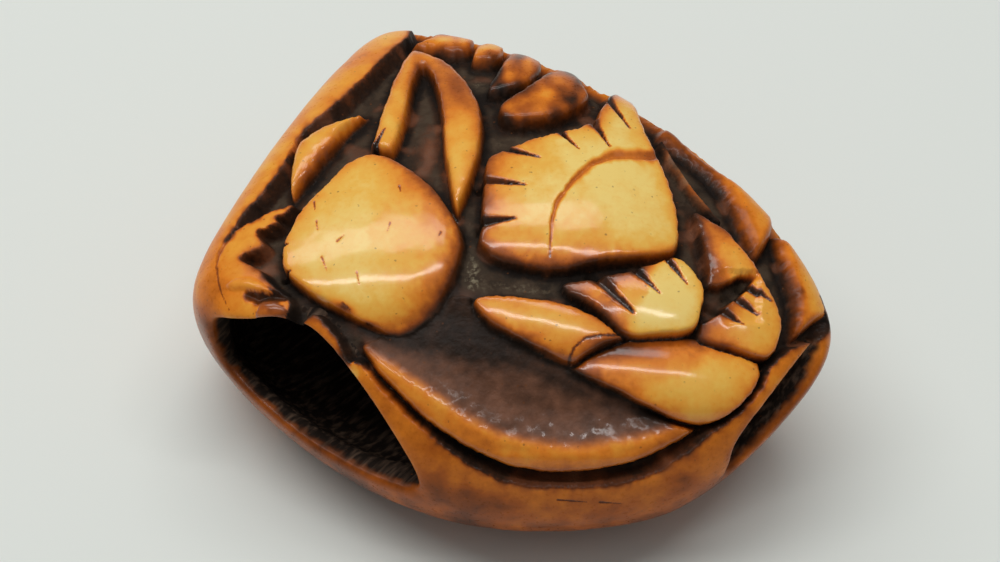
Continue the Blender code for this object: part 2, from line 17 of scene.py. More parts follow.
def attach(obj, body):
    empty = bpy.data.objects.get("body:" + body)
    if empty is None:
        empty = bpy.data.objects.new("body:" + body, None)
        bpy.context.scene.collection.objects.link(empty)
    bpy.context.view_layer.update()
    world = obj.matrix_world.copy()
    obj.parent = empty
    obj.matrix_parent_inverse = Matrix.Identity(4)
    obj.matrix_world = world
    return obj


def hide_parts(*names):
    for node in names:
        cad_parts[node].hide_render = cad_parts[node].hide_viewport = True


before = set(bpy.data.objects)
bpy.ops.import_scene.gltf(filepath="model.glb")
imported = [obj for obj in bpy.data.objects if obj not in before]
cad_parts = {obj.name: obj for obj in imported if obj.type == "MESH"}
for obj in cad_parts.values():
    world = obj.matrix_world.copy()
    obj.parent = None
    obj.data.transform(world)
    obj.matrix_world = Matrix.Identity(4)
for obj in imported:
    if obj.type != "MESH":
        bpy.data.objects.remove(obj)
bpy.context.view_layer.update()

MM = 0.001

# %% [markdown]
# ## The uncarved block
# The carver began with a sawn block whose faces are all slightly domed. Each face here
# is a large sphere, named by the way it looks, how far its crown stands from the middle
# of the block, its radius, and how thick the wall is behind it. A point's height above
# all of the faces at once is a single number, a field, that is below zero inside. Fields
# are handy because the tunnel, the walls and the lips all come from the same few sizes.

# %% Faces of the block
MIDDLE = np.array([-0.55, 0.0, 10.0])
FACE_BLEND = 1.2
MOUTH_BLEND = 0.5
LIP_BLEND = 0.35
FOOT_HEIGHT = 0.4

FACES = {
    "top": (60, 89, 10.7, 60, 3.6),
    "belly": (-90, -88.5, 10.0, 90, 2.2),
    "left_end": (156, 10, 20.0, 300, 2.4),
    "left_slope": (160, 60, 19.0, 90, 3.0),
    "back": (50, -20, 12.1, 120, 2.6),
    "back_slope": (50, 55, 17.0, 80, 3.6),
    "right_end": (20, 0, 22.2, 120, 2.4),
    "front_right": (-40, -25, 24.0, 90, 1.8),
    "front_left": (-128, -20, 21.0, 46, 1.6),
    "front": (-90, -10.4, 22.8, 90, 3.4),
    "front_slope": (-95.4, 50, 17.5, 60, 4.2),
}
print("the block has", len(FACES), "domed faces")


# %% Fields for the block
def direction(azimuth, elevation):
    """Unit vector: azimuth 0 is +X and 90 is +Y, elevation 90 is straight up."""
    turn, lift = np.radians([azimuth, elevation])
    return np.array([np.cos(turn) * np.cos(lift), np.sin(turn) * np.cos(lift), np.sin(lift)])


def heading(angle):
    """Unit vector on a flat sheet: 0 is to the right and 90 is up."""
    return np.array([np.cos(np.radians(angle)), np.sin(np.radians(angle))])


def soft_max(fields, blend):
    """The largest of some fields, with the crossings rounded."""
    fields = np.stack(fields)
    top = fields.max(axis=0)
    return top + blend * np.log(np.exp((fields - top) / blend).sum(axis=0))


def domed_face(points, azimuth, elevation, distance, radius):
    """Height above a domed face whose crown lies at a distance from MIDDLE."""
    centre = MIDDLE + direction(azimuth, elevation) * (distance - radius)
    return np.linalg.norm(points - centre, axis=-1) - radius


def block(points):
    """Below zero inside the uncarved block."""
    return soft_max([domed_face(points, *face[:4]) for face in FACES.values()], FACE_BLEND)


print("the middle lies", round(-float(block(MIDDLE[None, :])[0]), 2), "mm deep in the block")

# %% [markdown]
# ## The tunnel and its two mouths
# Antler has a spongy core, which the carver dug out to leave a tunnel with two wide
# mouths. The tunnel follows the block at the thickness of the walls. Each mouth is an
# outline of arcs, and it runs out through the wall like a drilled passage. Subtracting
# one field from another hollows the block and rounds the lips in the same step.

# %% Fields for the hollow
MOUTHS = {
    "left": (-128, 6.0, 0.5, (
        (114, -7.0, 6.1, 60), (53, 4.6, 4.0, 16), (-92, -2.0, -2.0, 60),
        (180, -11.0, 3.0, 14), (0, 8.2, 0.0, 12))),
    "right": (-40, 8.0, 0.4, (
        (100, 2.0, 3.8, 14), (138, -3.2, 2.9, 30), (-62, 1.8, 0.3, 60),
        (180, -3.8, 0.0, 20), (0, 7.4, 3.0, 20))),
}


def tunnel(points):
    """Below zero inside the hollow that follows the block at the walls' thickness."""
    faces = [domed_face(points, azimuth, elevation, distance - wall, radius - wall)
             for azimuth, elevation, distance, radius, wall in FACES.values()]
    return soft_max(faces, FACE_BLEND)


def mouth(points, azimuth, start, blend, arcs):
    """Below zero inside the passage that runs out through the wall."""
    outward, across = direction(azimuth, 0), direction(azimuth + 90, 0)
    offset = points - MIDDLE
    along, side, rise = offset @ outward, offset @ across, offset[..., 2]
    limits = [start - along]
    for angle, arc_side, arc_rise, radius in arcs:
        centre = np.array([arc_side, arc_rise]) - heading(angle) * radius
        limits.append(np.hypot(side - centre[0], rise - centre[1]) - radius)
    return soft_max(limits, blend)


def hollow(points):
    """Below zero inside the tunnel and both of its mouths."""
    openings = [tunnel(points)] + [mouth(points, *values) for values in MOUTHS.values()]
    return -soft_max([-field for field in openings], MOUTH_BLEND)


def form(points):
    """Below zero inside the hollow block before it is carved."""
    return soft_max([block(points), -hollow(points)], LIP_BLEND)


def slope(field, points, step=0.02):
    """Gradient of a field, by central differences."""
    columns = []
    for axis in np.eye(3) * step:
        columns.append((field(points + axis) - field(points - axis)) / (2 * step))
    return np.stack(columns, axis=-1)


print("the tunnel has", len(MOUTHS), "mouths")

# %% [markdown]
# ## A blank to carve
# A ball is the simplest closed mesh. Each of its points is pulled out along its own ray
# until it meets the surface of a field. The tunnel and the passages are made the same
# way and cut from the block with Booleans, and a voxel remesh turns the result into
# even quads, because carving needs points everywhere and not only at the corners.

# %% Pull a ball onto a field
FARTHEST = 45.0
HALVINGS = 30


def placed(name, data):
    """A new object in the scene for a mesh, a lamp or a camera."""
    thing = bpy.data.objects.new(name, data)
    bpy.context.scene.collection.objects.link(thing)
    return thing


def made_of(name, work):
    """A new object in the scene from a bmesh, which is freed."""
    mesh = bpy.data.meshes.new(name)
    work.to_mesh(mesh)
    work.free()
    return placed(name, mesh)


def places_of(work):
    """The points of a bmesh as an array."""
    return np.array([vert.co for vert in work.verts], dtype=float)


def move_to(work, places):
    """Put the points of a bmesh at new places."""
    for vert, place in zip(work.verts, places):
        vert.co = place


def blank(name, field, centre, subdivisions):
    """A ball pulled out from a centre until it meets the surface of a field."""
    work = bmesh.new()
    bmesh.ops.create_icosphere(work, subdivisions=subdivisions, radius=1.0)
    rays = places_of(work)
    rays /= np.linalg.norm(rays, axis=1, keepdims=True)
    near, far = np.zeros(len(rays)), np.full(len(rays), FARTHEST)
    for _ in range(HALVINGS):
        middle = 0.5 * (near + far)
        inside = field(centre + rays * middle[:, None]) < 0
        near, far = np.where(inside, middle, near), np.where(inside, far, middle)
    move_to(work, centre + rays * near[:, None])
    return made_of(name, work)


netsuke = blank("netsuke_carving", block, MIDDLE, subdivisions=6)
print("the blank has", len(netsuke.data.vertices), "points")

# %% Cut the tunnel and even the mesh
BLANK_VOXEL = 0.5
PASSAGE_END = 34.0
PASSAGE_START = 14.0
PASSAGE_RISE = np.array([0.0, 0.0, 2.0])


def passage(values):
    """The field of one mouth, closed off outside the block so that it has an end."""
    def field(points):
        beyond = np.linalg.norm(points - MIDDLE, axis=-1) - PASSAGE_END
        return np.maximum(mouth(points, *values), beyond)
    return field


cutters = [blank("tunnel_cutter", tunnel, MIDDLE, subdivisions=5)]
for name, values in MOUTHS.items():
    inward = MIDDLE + direction(values[0], 0) * PASSAGE_START + PASSAGE_RISE
    cutters.append(blank(name + "_mouth_cutter", passage(values), inward, subdivisions=5))
for cutter in cutters:
    boolean = netsuke.modifiers.new(cutter.name, "BOOLEAN")
    boolean.operation = "DIFFERENCE"
    boolean.solver = "EXACT"
    boolean.object = cutter
remesh = netsuke.modifiers.new("even", "REMESH")
remesh.mode = "VOXEL"
remesh.voxel_size = BLANK_VOXEL
bpy.context.view_layer.update()
graph = bpy.context.evaluated_depsgraph_get()
hollowed = bpy.data.meshes.new_from_object(netsuke.evaluated_get(graph))
netsuke.modifiers.clear()
netsuke.data = hollowed
for cutter in cutters:
    bpy.data.objects.remove(cutter, do_unlink=True)
print("the hollow blank has", len(netsuke.data.polygons), "quads")

# %% [markdown]
# ## Laying out the design
# A carver draws the design on the block before cutting it. The sheet here is held square
# to the eye, as if the drawing were seen through a pane of glass: a point of the block
# falls on the sheet by central projection. All of the outlines below are in millimetres
# on that sheet, across and up, with only the corners that a shape needs, and a smooth
# curve runs through them.

# %% The sheet and its curves
EYE_AZIMUTH = -90.0
EYE_HEIGHT = 48.0
EYE_DISTANCE = 160.0
EYE_TARGET = np.array([0.0, 0.0, -2.0])
SPAN_STEPS = 6


def chart(points, azimuth, elevation, distance):
    """Where points fall on a sheet held square to the eye: across and up, in mm."""
    back = direction(azimuth, elevation)
    right = direction(azimuth + 90, 0)
    up = np.cross(back, right)
    offset = points - MIDDLE - EYE_TARGET
    scale = distance / (distance - offset @ back)
    return np.stack([offset @ right * scale, offset @ up * scale], axis=-1)


def smooth_outline(corners):
    """A closed curve through a few points, the Catmull-Rom way."""
    corners = np.array(corners, dtype=float)
    before, after, later = (np.roll(corners, shift, axis=0) for shift in (1, -1, -2))
    curve = []
    for t in np.arange(SPAN_STEPS) / SPAN_STEPS:
        weights = (-t + 2 * t**2 - t**3, 2 - 5 * t**2 + 3 * t**3,
                   t + 4 * t**2 - 3 * t**3, t**3 - t**2)
        curve.append(0.5 * sum(w * p for w, p in zip(weights, (before, corners, after, later))))
    return np.stack(curve, axis=1).reshape(-1, 2)


print("the sheet is held", EYE_DISTANCE, "mm off, tilted", EYE_HEIGHT, "degrees")

# %% [markdown]
# The ground is cut away inside one large outline, the basin. Its notched left corner
# leaves a pointed leaf standing, with a lens-shaped leaf above it and a tongue and a
# knob below. A folded leaf and some beads fill the top, and a round disc, a wing, two
# leaves and two shells overlap across the middle. A crescent with a sunken dish lies in
# front.

# %% Outlines of the ground and of the left side
BASIN = (
    (-7.2, 19.0), (-8.5, 18.0), (-10.2, 16.4), (-12.5, 14.1), (-15.2, 11.8), (-17.2, 8.7),
    (-18.9, 6.5), (-20.3, 4.9), (-21.5, 3.1), (-20.7, 3.9), (-18.5, 5.1), (-16.2, 6.0),
    (-16.8, 5.3), (-17.6, 5.0), (-17.5, 4.5), (-19.2, 3.9), (-18.5, 3.0), (-18.9, 2.5),
    (-20.3, 2.0), (-19.9, 1.4), (-18.7, 0.8), (-18.1, 0.0), (-17.4, -0.7), (-16.7, -1.3),
    (-16.4, -2.0), (-16.7, -2.8), (-16.5, -3.7), (-15.9, -4.0), (-15.4, -3.3), (-14.7, -2.6),
    (-14.0, -2.9), (-13.0, -4.1), (-12.3, -5.4), (-11.8, -6.3), (-11.2, -6.3), (-10.2, -7.1),
    (-8.2, -9.0), (-6.2, -11.2), (-3.6, -13.5), (0.0, -15.6), (4.0, -16.2), (8.0, -16.1),
    (11.4, -15.4), (14.1, -13.8), (16.6, -11.9), (19.0, -10.0), (20.6, -8.0), (21.6, -6.2),
    (23.2, -5.1), (25.0, -4.6), (25.6, -2.9), (23.9, 1.5), (21.4, 6.2), (17.8, 10.5),
    (13.4, 13.2), (8.2, 16.6), (4.8, 18.2), (0.0, 19.4), (-4.7, 20.0), (-6.8, 19.6),
)
OUTLINES = {
    "disc": ((-17.3, 1.6), (-16.6, 4.1), (-14.5, 6.9), (-11.3, 9.8), (-9.0, 10.1),
        (-6.2, 8.5), (-3.8, 5.9), (-2.7, 3.0), (-4.7, -1.5), (-8.2, -4.0), (-12.9, -2.3),
        (-16.3, -0.1)),
    "fold": ((-10.3, 10.0), (-9.6, 13.0), (-8.2, 16.6), (-7.2, 18.2), (-6.0, 18.3),
        (-4.0, 17.4), (-2.4, 15.8), (-1.4, 13.8), (-1.3, 11.4), (-1.9, 9.0), (-2.8, 6.6),
        (-3.5, 5.4), (-4.0, 7.2), (-4.5, 10.2), (-4.7, 13.0), (-5.2, 15.4), (-6.0, 16.9),
        (-6.7, 15.6), (-7.3, 13.2), (-8.1, 10.8), (-9.2, 9.6)),
    "lens_leaf": ((-10.5, 13.6), (-13.7, 12.4), (-15.8, 10.9), (-16.7, 8.5), (-16.5, 6.8),
        (-15.5, 8.0), (-13.7, 10.1), (-12.1, 12.0)),
    "knob": ((-19.3, -2.2), (-18.6, -1.4), (-17.2, -1.4), (-16.3, -2.1), (-16.6, -3.2),
        (-18.0, -4.0), (-19.2, -3.2)),
    "tongue": ((-21.8, -0.3), (-20.6, 0.5), (-19.2, 0.4), (-17.8, -0.5), (-17.6, -1.1),
        (-19.4, -1.1), (-21.2, -1.0)),
    "strut_chip": ((-12.0, -6.5), (-11.3, -6.2), (-10.8, -6.9), (-11.1, -7.9),
        (-11.9, -7.5)),
}
print("the basin has", len(BASIN), "corners")

# %% Outlines of the top, the middle and the front
OUTLINES.update({
    "top_strip": ((-7.2, 18.5), (-6.4, 19.1), (-4.3, 19.7), (-1.7, 19.3), (-2.2, 18.4),
        (-3.9, 18.1), (-5.6, 18.4)),
    "top_bead": ((-2.3, 17.7), (-1.6, 18.8), (0.0, 18.9), (0.6, 18.2), (-0.2, 17.4),
        (-1.6, 17.3)),
    "top_lump": ((-1.1, 15.1), (-0.4, 16.6), (0.8, 18.2), (2.7, 18.3), (3.5, 17.1),
        (2.7, 15.7), (0.8, 15.1)),
    "top_oval": ((-0.2, 13.9), (0.9, 14.7), (2.3, 15.5), (4.1, 16.8), (5.9, 16.5),
        (7.2, 14.8), (6.1, 13.6), (3.5, 12.7), (0.4, 12.7)),
    "wing": ((-1.3, 9.1), (-0.4, 10.2), (2.3, 11.2), (5.1, 11.8), (7.2, 12.5), (7.7, 13.6),
        (8.9, 14.8), (10.7, 13.8), (11.6, 11.6), (13.1, 8.4), (14.1, 5.2), (14.1, 2.8),
        (12.3, 2.0), (7.8, 1.5), (4.5, 1.0), (1.2, 1.5), (-1.6, 2.8), (-1.6, 5.2)),
    "mid_leaf": ((-2.2, -1.4), (-1.4, -0.8), (0.6, -0.8), (3.2, -1.1), (6.0, -1.7),
        (8.3, -2.9), (10.1, -4.2), (8.5, -4.9), (6.9, -5.8), (5.6, -6.6), (3.5, -5.6),
        (0.9, -4.3), (-1.3, -2.8)),
    "shell": ((4.9, 0.0), (7.0, 0.5), (9.6, 0.8), (11.9, 1.5), (13.6, 2.1), (15.1, 1.2),
        (16.0, -0.9), (15.7, -3.1), (14.6, -4.1), (12.1, -4.3), (9.8, -4.2), (7.5, -2.2)),
    "side_shell": ((15.4, 5.8), (17.3, 4.7), (19.1, 2.7), (20.7, 0.2), (22.1, -2.7),
        (22.0, -4.8), (20.8, -6.2), (18.0, -5.3), (15.7, -4.3), (15.9, -1.5), (16.1, 1.3),
        (15.7, 3.8)),
    "side_pit": ((15.9, -0.5), (17.5, -0.1), (19.0, 0.6), (20.1, 0.4), (19.5, -0.5),
        (18.8, -1.3), (17.8, -1.9), (17.0, -2.7), (15.8, -3.1)),
    "low_leaf": ((5.4, -6.6), (7.6, -5.2), (10.3, -4.0), (15.6, -4.0), (19.9, -5.4),
        (20.8, -6.9), (20.2, -8.4), (18.5, -10.2), (16.0, -11.6), (13.4, -10.9), (9.4, -8.9)),
    "crescent": ((-11.1, -4.9), (-10.5, -6.5), (-8.3, -9.1), (-4.8, -12.2), (0.0, -14.8),
        (4.7, -15.5), (9.4, -15.0), (13.3, -13.5), (15.8, -11.6), (12.9, -9.7), (6.7, -6.0),
        (1.0, -3.2), (-3.1, -0.5), (-7.8, -2.9), (-9.8, -4.1)),
    "dish": ((-12.2, -3.4), (-11.0, -5.2), (-9.7, -6.3), (-7.3, -7.8), (-3.9, -10.3),
        (0.0, -12.4), (4.7, -13.3), (9.4, -13.0), (13.6, -11.7), (15.5, -8.9), (9.0, -4.6),
        (1.6, -1.0), (-5.5, 1.0), (-10.0, -1.5)),
    "back_strip": ((12.3, 11.7), (14.6, 10.2), (16.4, 8.8), (18.0, 6.6), (19.1, 3.9),
        (20.1, 2.0), (21.2, 2.9), (21.9, 4.4), (21.6, 6.8), (18.0, 11.2), (14.0, 13.4)),
    "right_strip": ((21.8, 3.7), (22.5, 0.7), (23.1, -1.5), (23.0, -3.4), (23.4, -4.5),
        (25.2, -3.2), (26.6, -2.9), (25.5, 1.0), (23.0, 4.6)),
})
CURVES = {name: smooth_outline(corners) for name, corners in OUTLINES.items()}
CURVES["basin"] = smooth_outline(BASIN)
print("the design has", len(CURVES), "outlines")

# %% [markdown]
# ## The carver's cuts
# The relief keeps six numbers for every point of the sheet: how far the surface moves
# in or out, its shade, from 0 where stain has settled to 1 where handling has worn it
# pale, how rough it is left, how purplish it is, how much dust lies on it, and how well
# it is polished. Shade follows height, because on the real thing the stain stays in the
# recesses and is rubbed off the high parts. No carved edge is quite straight, so a
# little noise, the wander, makes every outline ragged.

# %% Distances on the sheet
GROUND = -1.3


def segment_distance(sheet, start, end):
    """Distance from each point of the sheet to one segment, and how far along it is."""
    run = end - start
    along = np.clip((sheet - start) @ run / (run @ run + 1e-12), 0.0, 1.0)
    return np.linalg.norm(sheet - start - along[:, None] * run, axis=1), along


def depth_inside(sheet, outline):
    """Distance to a closed outline, positive inside it and negative outside."""
    nearest = np.full(len(sheet), 1e9)
    inside = np.zeros(len(sheet), dtype=bool)
    for start, end in zip(outline, np.roll(outline, -1, axis=0)):
        nearest = np.minimum(nearest, segment_distance(sheet, start, end)[0])
        crosses = (start[1] > sheet[:, 1]) != (end[1] > sheet[:, 1])
        rise = end[1] - start[1] if end[1] != start[1] else 1e-12
        reach = start[0] + (sheet[:, 1] - start[1]) * (end[0] - start[0]) / rise
        inside ^= crosses & (sheet[:, 0] < reach)
    return np.where(inside, nearest, -nearest)


def ease(value, low, high):
    """A smooth step from 0 at low to 1 at high."""
    t = np.clip((value - low) / (high - low), 0.0, 1.0)
    return t * t * (3 - 2 * t)


def shoulder(inset, width, power=2):
    """A rounded edge: 0 at the outline, 1 once the width is passed."""
    return 1 - (1 - np.clip(inset / width, 0.0, 1.0))**power


print("the ground lies", -GROUND, "mm below the block's surface")

# %% What the relief keeps
WANDERS = ((1.6, 0.55), (0.5, 0.45))
RAGGED_EDGE = 0.2
RIM_POLISH = 0.15


def unevenness(points, size, amount, stretch=(1.0, 1.0, 1.0)):
    """A smooth random height at each point, with features of a size in mm."""
    spots = points * np.array(stretch) / size
    return amount * np.array([noise.noise(Vector(spot)) for spot in spots])


def sheet_unevenness(sheet, size, amount, level=0.0):
    """The same on the flat sheet, at some level of the noise."""
    return unevenness(np.column_stack([sheet, np.full(len(sheet), level)]), size, amount)


class Relief:
    """What has been done so far at each point of a sheet."""

    def __init__(self, sheet, rim):
        self.sheet = sheet
        self.wander = sum(sheet_unevenness(sheet, *wave) for wave in WANDERS)
        self.height, self.rough, self.dusk, self.dust = np.zeros((4, len(sheet)))
        self.shade = rim.copy()
        self.polish = np.full(len(sheet), RIM_POLISH)

    def near(self, outline, margin):
        """Which points lie in an outline's box and a margin round it."""
        low, high = outline.min(axis=0) - margin, outline.max(axis=0) + margin
        return ((self.sheet > low) & (self.sheet < high)).all(axis=1)

    def inset(self, outline, near):
        """How far some points lie inside an outline, which is a little ragged."""
        return depth_inside(self.sheet[near], outline) + RAGGED_EDGE * self.wander[near]


def bring(layer, near, value, share):
    """Bring some points of a layer nearer to a value."""
    layer[near] += (value - layer[near]) * share


print("an outline wanders by", RAGGED_EDGE, "mm at most")

# %% [markdown]
# Sinking the ground is the first cut. Its walls are crisp, but the dish in the crescent
# is a soft bowl. Stain creeps over the edge, and dust settles on an open floor.

# %% Sink the ground
BOWL = 1.5
DUSTY = 0.5


def sink(relief, outline, floor, edge, shade=0.05, rough=1.0, dusk=0.0, soft=False, bleed=0.0):
    """Lower the surface inside an outline to a floor, from a crisp or a soft edge."""
    near = relief.near(outline, 4 * bleed + 0.1)
    inset = relief.inset(outline, near)
    share = shoulder(inset, edge, BOWL if soft else 2)
    relief.height[near] = np.minimum(relief.height[near], floor * share)
    stained = ease(share, 0.02, 0.45) if soft else ease(share, 0.0, 0.8)
    if bleed > 0:
        soaked = bleed * (1 + 1.2 * relief.wander[near])
        over = np.exp(np.minimum(inset, 0.0) / np.maximum(soaked, 0.05))
        relief.shade[near] *= 1 - 0.85 * over
        relief.rough[near] += 0.8 * (1 - relief.rough[near]) * over
    bring(relief.shade, near, shade, stained)
    bring(relief.rough, near, rough, stained)
    bring(relief.dusk, near, dusk, stained)
    relief.polish[near] *= 1 - stained
    bring(relief.dust, near, DUSTY * (1 - dusk), ease(share, 0.85, 1.0))


print("an open floor has", DUSTY, "of the full dust")

# %% [markdown]
# Leaves, shells and the disc are plates that stand in the ground. A plate's back is a
# low dome or cushion. It can tilt, so that overlapping scales look as if each slips
# under the next, roll off at one side, or bend along a line, and those bends decide
# where its highlights lie.


# %% The back of a plate
def toward(sheet, outline, angle):
    """How squarely each point lies on one side of an outline, from -1 to 1."""
    offset = sheet - outline.mean(axis=0)
    return offset @ heading(angle) / (np.linalg.norm(offset, axis=1) + 1e-6)


def plate_back(sheet, outline, inset, level, crown, reach, tilt, roll, bend):
    """The height of a plate's back.

    It is a dome over the outline's own ellipse, or a cushion as wide as a reach. It
    tilts down towards one side, rolls off towards the edge of another side, and bends
    down by some degrees beyond a straight line."""
    offset = sheet - outline.mean(axis=0)
    outness = 0.5 * (offset @ np.linalg.inv(np.cov(outline.T)) * offset).sum(axis=1)
    if reach is None:
        back = level + crown * (1 - np.minimum(outness, 1.6))
    else:
        back = level + crown * shoulder(inset, reach)
    angle, fall = tilt
    farthest = ((outline - outline.mean(axis=0)) @ heading(angle)).max()
    back -= fall * np.clip(offset @ heading(angle) / farthest, -1.2, 1.2)
    angle, drop, start = roll
    side = ease(toward(sheet, outline, angle), -0.4, 0.9)
    back -= drop * side * np.clip((outness - start) / (1 - start), 0.0, 1.4)**2
    through, angle, steepness, softness = bend
    beyond = (sheet - through) @ heading(angle) / softness
    return back - np.tan(np.radians(steepness)) * softness * np.logaddexp(0.0, beyond)


print("the disc's middle lies at", CURVES["disc"].mean(axis=0).round(1), "on the sheet")

# %% Stand a plate in the ground
WALL_SHADE = 0.02
# How far from a plate the ground is darkened with painted shade where the plate rises over it,
# and how far dust keeps off.
PAINTED_SHADE_AND_DUST_REACH = 0.9
SOAKS = ((0.55, 1.2), (0.45, 0.28))


def plate(relief, outline, level, crown, reach=None, edge=0.4, moat=0.4, tone=0.8,
          soak=(-60, 0.3, 0.9), polish=1.0, tilt=(0, 0.0), roll=(0, 0.0, 0.0),
          bend=((0.0, 0.0), 0, 0.0, 1.0), merge=False, foot=GROUND):
    """Stand a plate on its foot: round edges, a crowned back and a moat round it.

    Stain soaks in from its edges, furthest on one side. A merged plate has no moat,
    and runs into whatever already stands higher."""
    near = relief.near(outline, PAINTED_SHADE_AND_DUST_REACH + 0.1)
    sheet, under = relief.sheet[near], relief.height[near]
    inset = relief.inset(outline, near)
    inside = inset > 0
    beside = np.ones(len(sheet)) if merge else ease(-inset, 0.0, moat)
    moated = np.minimum(under, foot + (under - foot) * beside)
    back = plate_back(sheet, outline, inset, level, crown, reach, tilt, roll, bend)
    top = foot + (back - foot) * shoulder(inset, edge)
    if merge:
        inside &= top > under
    relief.height[near] = np.where(inside, np.maximum(top, GROUND), moated)
    angle, narrow, wide = soak
    side = ease(toward(sheet, outline, angle), -0.2, 0.8)
    soaked = (narrow + (wide - narrow) * side) * (1 + relief.wander[near])
    depths = np.maximum(inset, 0.0) / np.maximum(soaked, 0.08)
    worn = np.ones(len(sheet))
    for part, speed in SOAKS:
        worn -= part * np.exp(-speed * depths)
    # Painted shade: the ground near a plate is darkened where the plate rises over it.
    painted_shade_near_plates = 1 - relief.rough[near] * (1 - ease(-inset, 0.0, PAINTED_SHADE_AND_DUST_REACH))
    beside_shade = (WALL_SHADE + (relief.shade[near] - WALL_SHADE) * beside) * painted_shade_near_plates
    relief.shade[near] = np.where(inside, tone * worn, beside_shade)
    relief.rough[near] = np.where(inside, 1 - ease(worn, 0.02, 0.25), relief.rough[near])
    relief.dusk[near] = np.where(inside, 0.0, relief.dusk[near])
    relief.polish[near] = np.where(inside, polish * (1 - relief.rough[near]),
                                   relief.polish[near])
    relief.dust[near] *= np.where(inside, 0.0, ease(-inset, 0.1, PAINTED_SHADE_AND_DUST_REACH))


print("the wall of a plate has shade", WALL_SHADE)

# %% [markdown]
# Fine lines are V cuts. A cut in a plate's edge narrows to nothing, as the corner of a
# graver leaves it, and stain fills it. Old stain also lies in soft red patches, other soft
# oval patches make places darker, and the antler's own grain shows as a mottle.

# %% Cut and leave lines
TAPER = 0.85
STAIN_REACH = (1.8, 1.4)


def cut(relief, path, width, depth, taper=True, stain=0.9):
    """Draw a V cut along a path; a tapered one narrows to nothing at its last point."""
    path = np.array(path, dtype=float)
    near = relief.near(path, width)
    lengths = np.linalg.norm(np.diff(path, axis=0), axis=1)
    travelled = np.concatenate([[0.0], np.cumsum(lengths)]) / lengths.sum()
    deepest, soaked = np.zeros((2, near.sum()))
    for index in range(len(path) - 1):
        distance, along = segment_distance(relief.sheet[near], path[index], path[index + 1])
        part = travelled[index] + along * (travelled[index + 1] - travelled[index])
        half = 0.5 * width * (1 - TAPER * part if taper else 1.0)
        strength = np.clip(1 - distance / half, 0.0, 1.0) * np.sqrt(half / (0.5 * width))
        deepest = np.maximum(deepest, strength)
        reach = distance / (half * (STAIN_REACH[0] + STAIN_REACH[1] * relief.wander[near]))
        soaked = np.maximum(soaked, 1 - np.clip(reach, 0.0, 1.0))
    relief.height[near] -= depth * deepest
    relief.shade[near] *= 1 - stain * ease(soaked, 0.0, 0.7)


def ridge(relief, path, width, level, tone):
    """Leave a thin ridge standing along a path."""
    path = np.array(path, dtype=float)
    near = relief.near(path, width)
    top = np.zeros(near.sum())
    for start, end in zip(path[:-1], path[1:]):
        distance, _ = segment_distance(relief.sheet[near], start, end)
        top = np.maximum(top, np.clip(1 - (2 * distance / width)**2, 0.0, 1.0))
    relief.height[near] = np.maximum(relief.height[near], GROUND + (level - GROUND) * top)
    relief.shade[near] = np.maximum(relief.shade[near], tone * top)


print("a cut keeps", round(1 - TAPER, 2), "of its width at the tip")

# %% Stain in patches
PATCH_SHADES = {"red": 0.36, "dark": 0.0}
MOTTLE_LEVEL = 5.0
MOTTLE_SIZE = 0.9


def blot(relief, layer, right, high, long, short, turn, amount, shade=0.0):
    """Bring a soft oval patch of the plates or of the ground nearer to a shade."""
    centre = np.array([right, high])
    near = relief.near(centre[None, :], 3 * max(long, short))
    offset = relief.sheet[near] - centre
    across = offset @ heading(turn) / long
    up = offset @ heading(turn + 90) / short
    share = amount * np.exp(-(across**2 + up**2) * (1 + relief.wander[near]))
    ground = relief.rough[near]
    share *= 1 - ground if layer == "plates" else ground
    if layer == "dust":
        bring(relief.dust, near, 1, share)
    elif layer == "polish":
        bring(relief.polish, near, 1, share)
    else:
        bring(relief.shade, near, PATCH_SHADES.get(layer, shade), share)
    if layer in PATCH_SHADES:
        relief.dusk[near] = np.maximum(relief.dusk[near], 0.8 * share)


def mottle(relief, outline, amount):
    """Make the shade inside an outline patchy."""
    near = relief.near(outline, 0.1)
    inset = depth_inside(relief.sheet[near], outline)
    patchy = sheet_unevenness(relief.sheet[near], MOTTLE_SIZE, amount, MOTTLE_LEVEL)
    relief.shade[near] += patchy * ease(inset, 0.0, 0.4)


print("the ground's patches have shades", PATCH_SHADES)

# %% [markdown]
# The upper design is cut from the back forwards, so that each plate covers the moat of
# the one behind it. Then come the short V notches that break the plates' edges, the
# hairlines and pores of the antler itself, and the patches where stain, dust or polish
# has gathered.

# %% Notches and lines
NOTCHES = (
    ((-1.7, 7.9), (2.0, 7.3), 0.7), ((0.0, 10.4), (3.1, 9.4), 0.6),
    ((4.5, 11.6), (6.1, 10.0), 0.5), ((7.2, 12.3), (8.5, 10.2), 0.6),
    ((8.3, 14.3), (10.1, 11.7), 0.5), ((-1.7, 4.6), (1.2, 4.8), 0.9),
    ((7.3, 0.8), (10.4, -2.6), 1.3), ((10.5, 0.9), (12.4, -1.2), 0.7),
    ((13.2, 1.6), (14.5, -0.4), 0.6), ((19.0, -0.1), (21.0, -1.7), 0.8),
    ((18.0, -0.9), (20.2, -2.7), 0.9), ((16.6, -1.7), (18.9, -3.4), 0.9),
    ((-17.5, 2.7), (-16.4, 2.7), 0.4), ((-17.5, 0.6), (-16.2, 0.7), 0.4),
    ((-10.0, 10.2), (-9.0, 11.9), 0.5),
)
NOTCH_DEPTH = 0.6
WING_ARC = ((12.0, 9.6), (8.8, 9.5), (7.0, 8.8), (5.6, 7.5), (4.4, 5.9), (4.0, 4.4), (3.9, 2.0))
THIN_RIDGE = ((12.8, 11.2), (13.6, 9.7), (15.3, 7.3), (17.3, 4.9))
CURL = ((9.3, -4.1), (7.9, -4.2), (6.6, -4.5), (5.8, -5.2), (5.5, -5.9), (5.5, -6.5))
KNOB_GAP = ((-16.9, -1.2), (-18.2, -1.1), (-18.9, -1.4), (-19.6, -1.1))
LEAF_EDGE = ((-20.9, 3.7), (-21.6, 2.8), (-22.0, 2.0), (-22.2, 1.0))
